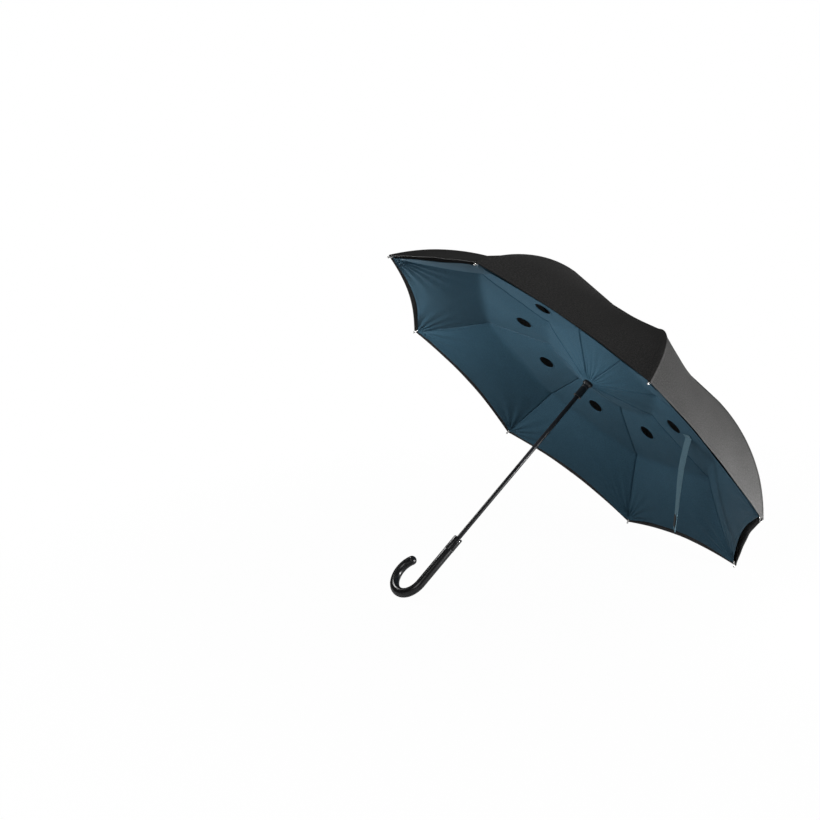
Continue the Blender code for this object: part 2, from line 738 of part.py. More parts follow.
def runner_hub():
    """Tube inside the collar, with the hub that the rib arms hang on at its top."""
    bore = SHAFT_R + SLIDE_GAP
    bottom = COLLAR_BOTTOM + RUNNER_TUBE_IN
    flange = COLLAR_TOP + LINING_SEAT + CLOTH_T + SLIDE_GAP
    top = RUNNER_Z + HUB_BELOW
    profile = [(bore, bottom), (RUNNER_TUBE_R, bottom), (RUNNER_TUBE_R, flange), (HUB_R, flange)]
    profile += [(HUB_R, top), (bore, top)]
    return about(ring_hub(profile, RUNNER_Z - RUNNER_SLOT, top + CUT, RUNNER_Z), 0, RUNNER_Z)


def runner_collar():
    low = COLLAR_BOTTOM
    high = COLLAR_TOP
    out = FLANGE_R - COLLAR_R
    profile = [(COLLAR_BORE, low), (FOOT_R - FOOT_EDGE, low), (FOOT_R, low + FOOT_EDGE)]
    profile += [(FOOT_R, low + FOOT_H), (FOOT_NECK_R, low + FOOT_H + FOOT_STEP)]
    profile += [(COLLAR_R + out * a, high - FLARE_L * (1 - b)) for a, b in FLARE_SHARES]
    profile += [(FLANGE_R, high), (COLLAR_BORE, high)]
    return about(lathe(profile, 28), 0, RUNNER_Z)


def runner_stop():
    low = RUNNER_Z + HUB_BELOW + GAP
    high = low + STOP_H
    bore = SHAFT_R + GAP
    profile = [(bore, low), (STOP_R, low), (STOP_R, high - STOP_EDGE)]
    profile += [(STOP_R - STOP_EDGE, high), (bore, high)]
    return lathe(profile, 20)


# handle

def hook_path(n=26):
    """Centre line of the hook from under the sleeve, with its rounded end's radii."""
    azimuth = math.radians(HOOK_AZ_DEG)
    side = Vector((math.cos(azimuth), math.sin(azimuth), 0))
    bend = Vector((0, 0, HANDLE_TOP - STRAIGHT_L))
    pts = [Vector((0, 0, HANDLE_TOP - SLEEVE_L - GAP)), bend]
    arc = math.radians(HOOK_ARC_DEG)
    for i in range(1, n + 1):
        a = arc * i / n
        pts.append(bend + side * HOOK_R * (1 - math.cos(a)) - Vector((0, 0, HOOK_R * math.sin(a))))
    radii = [GRIP_R] * len(pts)
    along = (side * math.sin(arc) - Vector((0, 0, math.cos(arc)))).normalized()
    last = pts[-1]
    for degrees in (18, 36, 54, 70, 82):
        a = math.radians(degrees)
        pts.append(last + along * GRIP_R * GRIP_END_SHARE * math.sin(a))
        radii.append(GRIP_R * math.cos(a))
    return pts, radii


def hook_grip():
    pts, radii = hook_path()
    bore = SHAFT_R + GAP
    top = pts[0].z + CUT
    bottom = HANDLE_TOP - SHAFT_IN_GRIP - BORE_GAP
    hole = lathe([(0, top), (bore, top), (bore, bottom), (0, bottom)], 24)
    return combine(sweep(pts, radii, 20), [hole], "DIFFERENCE")


def grip_sleeve():
    """Turned sleeve with an open mouth, and the pocket for the button."""
    low = HANDLE_TOP - SLEEVE_L
    bore = SHAFT_R + GAP
    floor = HANDLE_TOP - MOUTH_DEPTH
    profile = [(bore, low), (SLEEVE_R, low)]
    profile += [(SLEEVE_R - SLEEVE_LIP * a, HANDLE_TOP - SLEEVE_EDGE * b) for a, b in SLEEVE_EDGE_SHARES]
    profile += [(MOUTH_R, HANDLE_TOP), (MOUTH_R, floor), (bore, floor)]
    half = BUTTON_L / 2 + SLIDE_GAP
    wide = BUTTON_R + SLIDE_GAP
    pocket = slab(upright, POCKET_R, SLEEVE_R + CUT, wide, BUTTON_MID - half, BUTTON_MID + half)
    pocket.transform(Matrix.Rotation(BUTTON_AZ, 4, "Z"))
    return combine(lathe(profile, 28), [pocket], "DIFFERENCE")


def push_button(n=20):
    """A stadium outline with a domed face."""
    run = BUTTON_L / 2 - BUTTON_R
    layers = [(BUTTON_IN, 1.0, 1.0)]
    layers += [(BUTTON_EDGE + (BUTTON_OUT - BUTTON_EDGE) * a, b, c) for a, b, c in BUTTON_DOME_SHARES]
    verts = []
    for out, wide, long in layers:
        for i in range(n):
            a = 2 * math.pi * i / n
            end = math.copysign(run, math.sin(a) + MERGE)
            verts.append((out, BUTTON_R * math.cos(a) * wide, (BUTTON_R * math.sin(a) + end) * long))
    faces = [list(range(n))[::-1], [(len(layers) - 1) * n + i for i in range(n)]]
    for row in range(len(layers) - 1):
        for i in range(n):
            j = (i + 1) % n
            faces.append([row * n + i, row * n + j, (row + 1) * n + j, (row + 1) * n + i])
    mesh = solid(verts, faces)
    mesh.transform(Matrix.Rotation(BUTTON_AZ, 4, "Z"))
    mesh["origin"] = (0.0, BUTTON_MID)
    return mesh


# strap

def strap_path(tilt, steps=8):
    """Points down the hanging strap and the width direction at each, in the umbrella's frame."""
    back = Matrix.Rotation(-tilt, 4, "Y")
    row = STRAP_ROW_SHARE
    v = (math.radians(STRAP_AZ_DEG) + 2 * HALF) / HALF
    root = Vector(lining_point(row, v, -1, 0))
    across = Vector(lining_point(row, v + PROBE_SHARE, -1, 0)) - root
    outward = Vector(lining_point(row + PROBE_SHARE, v, -1, 0)) - root
    normal = across.cross(outward).normalized()
    normal *= -1 if normal.z > 0 else 1
    down = math.sqrt(STRAP_HANG ** 2 - STRAP_END_X ** 2 - STRAP_END_Y ** 2)
    hang = back @ Vector((STRAP_END_X, STRAP_END_Y, -down))
    turn = math.radians(STRAP_TURN_DEG)
    wide = back @ Vector((math.cos(turn), math.sin(turn), 0))
    bow = back @ Vector((-math.sin(turn), math.cos(turn), 0)) * STRAP_BOW
    flat = (wide - normal * normal.dot(wide)).normalized()
    patch = (hang - normal * normal.dot(hang)).normalized() * STRAP_PATCH
    root += normal * STRAP_LIFT
    points = [root - patch]
    widths = [flat]
    for i in range(steps + 1):
        f = i / steps
        points.append(root + hang * f + bow * math.sin(math.pi * f))
        turned = min(f * 3, 1)
        widths.append((flat * (1 - turned) + wide * turned).normalized())
    return points, widths


def band(points, widths, width, thick):
    """A flat strip of the given width and thickness through points."""
    verts = []
    for i, p in enumerate(points):
        along = (points[min(i + 1, len(points) - 1)] - points[max(i - 1, 0)]).normalized()
        face = along.cross(widths[i]).normalized()
        for a, b in ((-1, -1), (1, -1), (1, 1), (-1, 1)):
            verts.append(p + widths[i] * a * width / 2 + face * b * thick / 2)
    faces = []
    for i in range(len(points) - 1):
        for j in range(4):
            k = (j + 1) % 4
            faces.append([i * 4 + j, i * 4 + k, i * 4 + 4 + k, i * 4 + 4 + j])
    last = (len(points) - 1) * 4
    faces += [[3, 2, 1, 0], [last, last + 1, last + 2, last + 3]]
    return solid(verts, faces)


def strap_tab(points, widths):
    along = (points[-1] - points[-2]).normalized()
    face = along.cross(widths[-1]).normalized()
    at = points[-1] + face * (STRAP_T / 2 + GAP + TAB_T / 2)
    line = [at - along * TAB_UP, at + along * TAB_FOLD, at + along * TAB_DOWN]
    return band(line, [widths[-1]] * 3, TAB_W, TAB_T)


# assembly

def lying_angle(tip, hook):
    """Tilt from upright at which the lowest points of the tip and the hook are level."""
    spin = Matrix.Rotation(HALF, 4, "Z")
    tips = np.array([tuple(spin @ v.co) for v in tip.vertices])
    grip = np.array([tuple(v.co) for v in hook.vertices])
    low = 0.0
    high = math.pi / 2
    for _ in range(60):
        a = (low + high) / 2
        down = np.array([-math.sin(a), 0, math.cos(a)])
        if (tips @ down).min() > (grip @ down).min():
            low = a
        else:
            high = a
    return low


def lay_down(tilt):
    """Tilts the assembly, stands it on the floor and centres it over the origin."""
    POSE.rotation_euler = (0, tilt, 0)
    bpy.context.view_layer.update()
    box = np.array([tuple(o.matrix_world @ v.co) for o in BUILT for v in o.data.vertices])
    low = box.min(axis=0)
    high = box.max(axis=0)
    POSE.location = (-(low[0] + high[0]) / 2, -(low[1] + high[1]) / 2, -low[2])
    print("tilt", math.degrees(tilt), "offset", tuple(POSE.location), "size", tuple(high - low))


def build():
    hook = hook_grip()
    tip = rib_tip()
    tilt = lying_angle(tip, hook)
    place("shaft_tube", shaft_tube(), "black_enamel")
    place("crown_hub", crown_hub(), "black_nylon")
    place("crown_cap", crown_cap(), "black_nylon")
    place("runner_stop", runner_stop(), "black_nylon")
    place("grip_sleeve", grip_sleeve(), "black_lacquer")
    place("hook_grip", hook, "black_lacquer")
    place("push_button", push_button(), "black_nylon")
    place("runner_hub", runner_hub(), "black_nylon")
    place("runner_collar", runner_collar(), "black_lacquer")
    place("lining", lining(), "petrol_polyester")
    inner = canopy_section(CROWN_CUT - ARM_L, lambda u: -SEAM_GAP / 2, 5)
    outer = canopy_section(SEAM_GAP / 2, hem, 10)
    ribs = (
        ("stretcher", stretcher(), "coated_steel"),
        ("rib_arm", rib_arm(), "coated_steel"),
        ("rib_rod", rib_rod(), "black_fibreglass"),
        ("rib_tip", about(tip, JOINT_R, JOINT_Z), "bright_nickel"),
        ("canopy_inner", about(inner, PIVOT_R, CROWN_Z), "black_pongee"),
        ("canopy_outer", about(outer, JOINT_R, JOINT_Z), "black_pongee"),
    )
    for k in range(1, RIBS + 1):
        for name, mesh, material in ribs:
            place(f"{name}_{k}", mesh, material, (2 * k - 1) * HALF)
    path, widths = strap_path(tilt)
    place("strap", band(path, widths, STRAP_W, STRAP_T), "petrol_polyester")
    place("strap_tab", strap_tab(path, widths), "black_tape")
    lay_down(tilt)


build()
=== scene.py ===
"""Looks of an open inverted umbrella, built around its solids.

Every piece is shaped upright, in metres, with the rib tips in the plane z = 0, the
shaft along z and rib k at azimuth (k - 1/2) * 45 degrees. It is then laid down the
way the solids lie.
"""

import json
import math

import bpy
import numpy as np
from mathutils import Matrix, Vector

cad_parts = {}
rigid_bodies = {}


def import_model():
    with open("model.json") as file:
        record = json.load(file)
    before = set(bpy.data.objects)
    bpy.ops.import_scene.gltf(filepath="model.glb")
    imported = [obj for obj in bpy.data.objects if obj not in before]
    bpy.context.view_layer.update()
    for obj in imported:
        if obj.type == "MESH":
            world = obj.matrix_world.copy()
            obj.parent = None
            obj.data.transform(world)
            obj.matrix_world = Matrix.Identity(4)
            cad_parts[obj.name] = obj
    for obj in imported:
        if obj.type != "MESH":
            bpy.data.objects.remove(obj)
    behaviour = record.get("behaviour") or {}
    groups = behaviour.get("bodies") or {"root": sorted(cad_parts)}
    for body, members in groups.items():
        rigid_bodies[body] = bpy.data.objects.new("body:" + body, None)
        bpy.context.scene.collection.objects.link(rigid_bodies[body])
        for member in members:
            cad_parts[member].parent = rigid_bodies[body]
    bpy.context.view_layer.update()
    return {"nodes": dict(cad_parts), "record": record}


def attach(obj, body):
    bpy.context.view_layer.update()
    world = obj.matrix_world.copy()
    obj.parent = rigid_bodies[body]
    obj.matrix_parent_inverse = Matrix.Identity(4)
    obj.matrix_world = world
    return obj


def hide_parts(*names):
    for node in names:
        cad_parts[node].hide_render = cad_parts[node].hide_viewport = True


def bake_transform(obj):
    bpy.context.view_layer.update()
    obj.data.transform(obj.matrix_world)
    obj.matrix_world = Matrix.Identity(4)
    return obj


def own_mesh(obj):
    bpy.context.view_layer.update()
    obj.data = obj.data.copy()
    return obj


for leftover in list(bpy.data.objects):
    bpy.data.objects.remove(leftover, do_unlink=True)
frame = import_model()


# Shaft
# A 10 mm steel tube in gloss black enamel. It runs from inside the grip to the crown,
# which is pinned on its end, and the runner slides along it.
CROWN_TOP = 0.28695          # top of the crown cap above the plane of the rib tips
SHAFT_R = 0.005
SHAFT_WALL = 0.0008
SHAFT_ENDS = (-0.438, 0.27565)

crown_face = next(m for m in frame["record"]["mounts"] if m["name"] == "crown_top_face")
up = Vector(crown_face["axis"]).normalized()
across = Vector((0, 1, 0))
crown_foot = Vector(crown_face["pos_m"]) - up * CROWN_TOP
LAID = Matrix.Translation(crown_foot) @ Matrix((across.cross(up), across, up)).transposed().to_4x4()


def add_node(tree, kind, inputs=(), **settings):
    """A node with these settings, and inputs that are plain values or other nodes' outputs."""
    made = tree.nodes.new(kind)
    for name, value in settings.items():
        setattr(made, name, value)
    for label, value in dict(inputs).items():
        if isinstance(value, bpy.types.NodeSocket):
            tree.links.new(value, made.inputs[label])
        else:
            made.inputs[label].default_value = value
    return made


def maths(tree, operation, *values):
    """The result of a Math node."""
    return add_node(tree, "ShaderNodeMath", enumerate(values), operation=operation).outputs[0]


def noise(tree, vector, scale, detail=3.0, stretch=None):
    """Noise of a given count per metre, from 0 to 1, stretched if need be."""
    if stretch:
        squeeze = {0: vector, 1: stretch}
        vector = add_node(tree, "ShaderNodeVectorMath", squeeze, operation="MULTIPLY").outputs[0]
    inputs = {"Vector": vector, "Scale": scale, "Detail": detail}
    return add_node(tree, "ShaderNodeTexNoise", inputs).outputs["Fac"]


def arithmetic(tree):
    """Sum, difference and product of values in a tree, as three functions."""
    return [lambda *values, name=name: maths(tree, name, *values) for name in ("ADD", "SUBTRACT", "MULTIPLY")]


def mixed(tree, share, first, second):
    """A colour between two colours."""
    inputs = {0: share, 6: first, 7: second}
    return add_node(tree, "ShaderNodeMix", inputs, data_type="RGBA", clamp_factor=True).outputs[2]


def new_group(name, *labels):
    """A shader group with these inputs besides its vector; returns tree, inputs and outputs."""
    tree = bpy.data.node_groups.new(name, "ShaderNodeTree")
    for side, names in (("INPUT", ("Vector", *labels)), ("OUTPUT", ("Colour", "Roughness", "Height"))):
        for label in names:
            kind = {"Vector": "Vector", "Colour": "Color"}.get(label.split()[-1], "Float")
            tree.interface.new_socket(label, in_out=side, socket_type=f"NodeSocket{kind}")
    return tree, add_node(tree, "NodeGroupInput").outputs, add_node(tree, "NodeGroupOutput").inputs


def make_handled_surface():
    """Smudges, fine rub marks and the grain of a hard finish."""
    tree, given, returned = new_group(
        "handled_surface", "Colour", "Rubbed Colour", "Gloss", "Smudges", "Grain",
    )
    plus, less, times = arithmetic(tree)
    smudge = noise(tree, given["Vector"], 38.0, 4.0)
    rub = noise(tree, given["Vector"], 210.0, 5.0, (1.0, 1.0, 0.12))
    grain = noise(tree, given["Vector"], given["Grain"], 2.0)
    marks = times(maths(tree, "POWER", rub, 5.0), given["Smudges"])
    tree.links.new(mixed(tree, marks, given["Colour"], given["Rubbed Colour"]), returned["Colour"])
    spread = times(less(smudge, 0.4), given["Smudges"])
    rough = plus(given["Gloss"], times(spread, 0.5))
    tree.links.new(maths(tree, "MAXIMUM", rough, 0.03), returned["Roughness"])
    tree.links.new(plus(grain, times(marks, 0.4)), returned["Height"])
    return tree


handled_surface = make_handled_surface()


def new_material(name, **sockets):
    """A material whose shader has these plain values; returns material, tree and shader."""
    material = bpy.data.materials.new(name)
    material.use_nodes = True
    shader = material.node_tree.nodes["Principled BSDF"]
    for label, value in sockets.items():
        shader.inputs[label.replace("_", " ").title().replace("Ior", "IOR")].default_value = value
    return material, material.node_tree, shader


def lay_surface(tree, shader, group, place, strength, depth, **values):
    """Feeds a shader's colour, roughness and relief from a group that is laid out on place."""
    inputs = {"Vector": place}
    for label, value in values.items():
        inputs[label.replace("_", " ").title()] = (*value, 1) if isinstance(value, tuple) else value
    surface = add_node(tree, "ShaderNodeGroup", inputs, node_tree=group).outputs
    relief = {"Strength": strength, "Distance": depth, "Height": surface["Height"]}
    tree.links.new(surface["Colour"], shader.inputs["Base Color"])
    tree.links.new(surface["Roughness"], shader.inputs["Roughness"])
    tree.links.new(add_node(tree, "ShaderNodeBump", relief).outputs["Normal"], shader.inputs["Normal"])


MARK_DEPTH = 0.0002          # of the rub marks and grain in a hard finish


def hard_material(name, colour, rubbed, gloss, smudges, grain, bump, **sockets):
    """A hard finish: enamel, lacquer, moulding or plating, with its own marks and grain."""
    material, tree, shader = new_material(name, **sockets)
    place = add_node(tree, "ShaderNodeTexCoord").outputs["Object"]
    lay_surface(tree, shader, handled_surface, place, bump, MARK_DEPTH, colour=colour, rubbed_colour=rubbed,
                gloss=gloss, smudges=smudges, grain=grain)
    return material


def rounded(outline, radius, steps=3):
    """An open or closed (r, z) outline with its corners rounded off."""
    points = [Vector(p) for p in outline]
    soft = [points[0]]
    for before, corner, after in zip(points, points[1:], points[2:]):
        into, away = before - corner, after - corner
        reach = min(radius, into.length * 0.45, away.length * 0.45)
        start, end = corner + into.normalized() * reach, corner + away.normalized() * reach
        for i in range(steps + 1):
            f = i / steps
            soft.append(start * (1 - f) ** 2 + corner * 2 * f * (1 - f) + end * f ** 2)
    return soft + [points[-1]]


def put_in(name, data):
    """An object of a mesh, lamp or camera, linked into the scene."""
    made = bpy.data.objects.new(name, data)
    bpy.context.scene.collection.objects.link(made)
    return made


def worked_out(name, shape):
    """The plain mesh of a shape with its modifiers; the shape and its raw mesh go."""
    raw = shape.data
    mesh = bpy.data.meshes.new_from_object(shape.evaluated_get(bpy.context.evaluated_depsgraph_get()))
    bpy.data.objects.remove(shape, do_unlink=True)
    bpy.data.meshes.remove(raw)
    mesh.name = name
    return mesh


def mesh_from(name, points, faces, sharp=40.0):
    """A mesh with its doubles merged, shaded smooth but for its sharp edges."""
    raw = bpy.data.meshes.new("raw")
    raw.from_pydata([tuple(p) for p in points], [], faces)
    shape = put_in("raw", raw)
    shape.modifiers.new("weld", "WELD").merge_threshold = 1e-6
    mesh = worked_out(name, shape)
    mesh.shade_smooth()
    mesh.set_sharp_from_angle(angle=math.radians(sharp))
    return mesh


def walls(rings, sides, first=0, flip=False):
    """Faces between rings of points that follow each other."""
    faces = []
    for a in range(first, first + (rings - 1) * sides, sides):
        for i in range(sides):
            low, high = ((i + 1) % sides, i) if flip else (i, (i + 1) % sides)
            faces.append((a + low, a + high, a + sides + high, a + sides + low))
    return faces


def turned(outline, sides=64):
    """A shape turned on the z axis from an (r, z) outline that runs down its outer side."""
    rings = [[(r * math.cos(2 * math.pi * i / sides), r * math.sin(2 * math.pi * i / sides), z)
              for i in range(sides)] for r, z in outline]
    return [p for ring in rings for p in ring], walls(len(rings), sides, flip=True)


def swept(points, radii, sides=40):
    """A round bar with closed ends along points, one radius for each point."""
    rings, side = [], None
    for i, point in enumerate(points):
        along = (points[min(i + 1, len(points) - 1)] - points[max(i - 1, 0)]).normalized()
        side = along.orthogonal() if side is None else side
        side = (side - along * side.dot(along)).normalized()
        turn = along.cross(side)
        angles = [2 * math.pi * j / sides for j in range(sides)]
        rings.append([point + (side * math.cos(a) + turn * math.sin(a)) * radii[i] for a in angles])
    ends = [tuple(range(sides))[::-1], tuple((len(points) - 1) * sides + j for j in range(sides))]
    return [p for ring in rings for p in ring], [ends[0], *walls(len(points), sides), ends[1]]


def finish_in(meshes, material):
    """Gives meshes one material in place of any that they have."""
    for mesh in meshes:
        mesh.materials.clear()
        mesh.materials.append(material)


def add_piece(mesh, material, body, replaces=()):
    """Lays an upright mesh down as the piece of its name, riding on its body if it has one."""
    mesh.transform(LAID)
    finish_in([mesh], material)
    piece = put_in(mesh.name, mesh)
    if body:
        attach(piece, body)
    if replaces:
        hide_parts(*replaces)
    return piece


black_enamel = hard_material(
    "black_enamel", (0.011, 0.011, 0.013), (0.04, 0.04, 0.042), 0.34, 0.20, 900.0, 0.01,
    specular_ior_level=0.3, coat_weight=0.15, coat_roughness=0.25,
)
low, high = SHAFT_ENDS
bore = SHAFT_R - SHAFT_WALL
shaft_outline = rounded([(bore, low), (bore, high), (SHAFT_R, high), (SHAFT_R, low), (bore, low)], 0.0003)
add_piece(mesh_from("shaft", *turned(shaft_outline)), black_enamel, "shaft", ["shaft_tube"])


# Crown and runner
# Black nylon mouldings. The crown cap clamps the outer cloth on the crown hub, and the
# runner's collar slides on the shaft below its hub; ribs hang on a wire ring in each hub.
COLLAR_BOTTOM, COLLAR_TOP = 0.054, 0.0962
COLLAR_BORE = 0.0071
COLLAR_BODY_R = 0.0086
COLLAR_FLANGE_R = 0.0097
COLLAR_CUP_R = 0.0121
COLLAR_GROOVE = 0.0005

black_nylon = hard_material(
    "black_nylon", (0.018, 0.018, 0.019), (0.045, 0.045, 0.045), 0.38, 0.25, 1600.0, 0.25,
)
collar_outline = rounded([
    (COLLAR_BORE, COLLAR_BOTTOM), (COLLAR_BORE, COLLAR_TOP), (COLLAR_CUP_R, COLLAR_TOP),
    (COLLAR_CUP_R, COLLAR_TOP - 0.0048), (COLLAR_CUP_R - 0.0003, COLLAR_TOP - 0.0056),
    (COLLAR_BODY_R + 0.0011, COLLAR_TOP - 0.0072), (COLLAR_BODY_R, COLLAR_TOP - 0.0092),
    (COLLAR_BODY_R, COLLAR_TOP - 0.0145), (COLLAR_BODY_R - COLLAR_GROOVE, COLLAR_TOP - 0.0150),
    (COLLAR_BODY_R - COLLAR_GROOVE, COLLAR_TOP - 0.0170), (COLLAR_BODY_R, COLLAR_TOP - 0.0175),
    (COLLAR_BODY_R + 0.0001, COLLAR_BOTTOM + 0.0042), (COLLAR_FLANGE_R - 0.0004, COLLAR_BOTTOM + 0.0034),
    (COLLAR_FLANGE_R, COLLAR_BOTTOM + 0.0028), (COLLAR_FLANGE_R, COLLAR_BOTTOM + 0.0004),
    (COLLAR_FLANGE_R - 0.0003, COLLAR_BOTTOM), (COLLAR_BORE, COLLAR_BOTTOM),
], 0.0004)
satin_black = hard_material(
    "satin_black_collar", (0.014, 0.014, 0.015), (0.05, 0.05, 0.05), 0.30, 0.3, 1200.0, 0.12,
)
add_piece(mesh_from("collar", *turned(collar_outline)), satin_black, "runner", ["runner_collar"])
mouldings = ("crown_hub", "crown_cap", "runner_hub", "runner_stop")
finish_in([frame["nodes"][name].data for name in mouldings], black_nylon)


# Ribs
# Each rib is a steel stretcher from the crown, a steel arm from the runner and an outer
# fibreglass rod, riveted together at one joint. The steel is coated black.
RIBS = 8
HALF = math.pi / RIBS        # from a rib to the middle of a panel
RIM_R = 0.530                # shaft to rib tip
PIVOT_R = 0.009              # radius of the wire rings
RUNNER_PIVOT = 0.106         # height of the runner's wire ring
ARM = 0.2906                 # arm and stretcher, pivot to pivot
ARM_SLOPE = math.radians(16.2)
ROD_TURN = math.radians(37.2)
ROD_R = 0.0017
JOINT_R = PIVOT_R + ARM * math.cos(ARM_SLOPE)
JOINT_Z = RUNNER_PIVOT + ARM * math.sin(ARM_SLOPE)
ROD_CHORD = math.hypot(RIM_R - JOINT_R, JOINT_Z)
ROD_BEND = ROD_CHORD / 2 / math.sin(ROD_TURN / 2)
ROD = ROD_BEND * ROD_TURN    # length along the rod

coated_steel = hard_material(
    "coated_steel", (0.022, 0.022, 0.024), (0.16, 0.16, 0.17), 0.34, 0.5, 700.0, 0.15, metallic=0.5,
)
black_fibreglass = hard_material(
    "black_fibreglass", (0.016, 0.016, 0.017), (0.07, 0.07, 0.07), 0.26, 0.3, 500.0, 0.10,
)
for part, material in (("stretcher", coated_steel), ("rib_arm", coated_steel), ("rib_rod", black_fibreglass)):
    finish_in([frame["nodes"][f"{part}_{k}"].data for k in range(1, RIBS + 1)], material)


def rod_line(s):
    """(r, z, slope) on the outer rod's arc, s metres from the joint; s may be an array."""
    first = math.atan2(-JOINT_Z, RIM_R - JOINT_R) + ROD_TURN / 2
    slope = first - s / ROD_BEND
    r = JOINT_R + ROD_BEND * (math.sin(first) - np.sin(slope))
    z = JOINT_Z + ROD_BEND * (np.cos(slope) - math.cos(first))
    return r, z, slope


# Rib tips
# Bright nickel-plated ferrules pressed on the ends of the rods. Each has a neck, where
# the corners of both cloths are tied on, and a small ball so that it doesn't poke.
TIP = 0.017                  # length of a ferrule
TIP_R = 0.0025
NECK_R = 0.0013
BALL_R = 0.0024
NECK_ENDS = 0.0046           # short of the ferrule's end, inside its ball
TIP_PIN = 0.0052             # cross pin that keeps the cloth's corner on
TIP_PIN_R = 0.0006
TIP_PIN_BACK = 0.0068        # from the ferrule's end

bright_nickel = hard_material(
    "bright_nickel", (0.80, 0.79, 0.77), (0.55, 0.55, 0.54), 0.16, 0.3, 1500.0, 0.05, metallic=1.0,
)


def tip_shape():
    """A ferrule with its neck, ball and cross pin, in the plane of azimuth 0."""
    r0, z0, _ = rod_line(ROD - TIP)
    r1, z1, _ = rod_line(ROD)
    long = math.hypot(r1 - r0, z1 - z0)
    outline = [(0, 0), (TIP_R * 0.92, 0), (TIP_R, 0.0006), (TIP_R, 0.0030), (TIP_R * 0.90, 0.0034),
               (TIP_R * 0.90, 0.0042), (TIP_R, 0.0046), (TIP_R, 0.0093), (NECK_R, 0.0112),
               (NECK_R, long - NECK_ENDS)]
    outline = rounded(outline, 0.0004)
    middle = long - BALL_R
    for i in range(11):
        a = math.radians(-56 + 146 * i / 10)
        outline.append(Vector((max(BALL_R * math.cos(a), 0), middle + BALL_R * math.sin(a))))
    points, faces = turned(outline, 32)
    pin_outline = [(0, -TIP_PIN / 2), (TIP_PIN_R, -TIP_PIN / 2), (TIP_PIN_R, TIP_PIN / 2), (0, TIP_PIN / 2)]
    pin_points, pin_faces = turned(rounded(pin_outline, 0.0002), 12)
    pin = [(x, z, y + long - TIP_PIN_BACK) for x, y, z in pin_points]
    count = len(points)
    faces = [f[::-1] for f in faces] + [tuple(v + count for v in f) for f in pin_faces]
    along = Matrix.Rotation(math.pi / 2 - math.atan2(z1 - z0, r1 - r0), 4, "Y")
    stand = Matrix.Translation((r0, 0, z0)) @ along
    return [stand @ Vector(p) for p in points + pin], faces


tip_points, tip_faces = tip_shape()
for k in range(1, RIBS + 1):
    turn = Matrix.Rotation((2 * k - 1) * HALF, 4, "Z")
    mesh = mesh_from(f"tip_{k}", [turn @ p for p in tip_points], tip_faces)
    add_piece(mesh, bright_nickel, f"rib_rod_{k}", [f"rib_tip_{k}"])


# Outer canopy
# Eight gores of black pongee, sewn together along the ribs with felled seams, clamped
# at the crown and tied to the rib tips. Each rib carries half a gore on either side,
# divided over the rib's joint, so that the cloth folds with the ribs.
CLOTH = 0.0005               # thickness
LIFT = 0.0046                # cloth above the rib's centre line
TIP_DROP = 0.0012            # less of it near the tips
SAG = 0.012                  # a panel's middle inside its ribs
CROWN_HOLE = 0.0052          # cloth starts this far out along the stretcher
HEM_BACK, HEM_SCALLOP = 0.0055, 0.0165
SEAM_HALF, SEAM_LIFT, SEAM_FLANK = 0.0034, 0.0015, 0.0018
BEND_HALF = 0.03             # the cloth turns over a joint within this distance
COLUMNS = 36                 # on each side of a rib
RIPPLE = 0.0010              # slight waves that differ from panel to panel


def woven_cloth_group():
    """Plain weave with slubs and soft creases, on a UV map in metres."""
    tree, given, returned = new_group(
        "woven_cloth", "Colour", "Light Colour", "Threads", "Gloss", "Creasing", "Grain",
    )
    plus, less, times = arithmetic(tree)
    parts = add_node(tree, "ShaderNodeSeparateXYZ", {0: given["Vector"]}).outputs
    turns = [times(times(parts[axis], given["Threads"]), math.pi) for axis in ("X", "Y")]
    weave = times(*(maths(tree, "SINE", turn) for turn in turns))
    warp = noise(tree, given["Vector"], 620.0, 2.0, (1.0, 0.06, 1.0))
    weft = noise(tree, given["Vector"], 560.0, 2.0, (0.06, 1.0, 1.0))
    mottle = noise(tree, given["Vector"], 9.0, 4.0)
    crease = noise(tree, given["Vector"], 24.0, 3.0)
    speckle = noise(tree, given["Vector"], 300.0, 2.0)
    slubs = plus(times(warp, 0.5), times(weft, 0.5))
    light = plus(times(weave, 0.10), times(less(slubs, 0.5), 1.5))
    light = plus(light, times(less(mottle, 0.5), 0.5))
    light = plus(light, times(less(speckle, 0.5), given["Grain"]))
    colour = mixed(tree, plus(light, 0.35), given["Colour"], given["Light Colour"])
    tree.links.new(colour, returned["Colour"])
    tree.links.new(plus(given["Gloss"], times(less(slubs, 0.5), 0.35)), returned["Roughness"])
    threads = plus(times(weave, 0.05), times(slubs, 0.25))
    tree.links.new(plus(times(crease, given["Creasing"]), threads), returned["Height"])
    return tree


woven_cloth = woven_cloth_group()
RELIEF, RELIEF_DEPTH = 0.5, 0.001    # of threads and creases


def cloth_material(name, colour, light, threads, gloss, creasing, grain, **sockets):
    """A woven finish that follows the piece's own UV map."""
    material, tree, shader = new_material(name, **sockets)
    place = add_node(tree, "ShaderNodeUVMap", uv_map="cut").outputs["UV"]
    lay_surface(tree, shader, woven_cloth, place, RELIEF, RELIEF_DEPTH, colour=colour, light_colour=light,
                threads=threads, gloss=gloss, creasing=creasing, grain=grain)
    return material


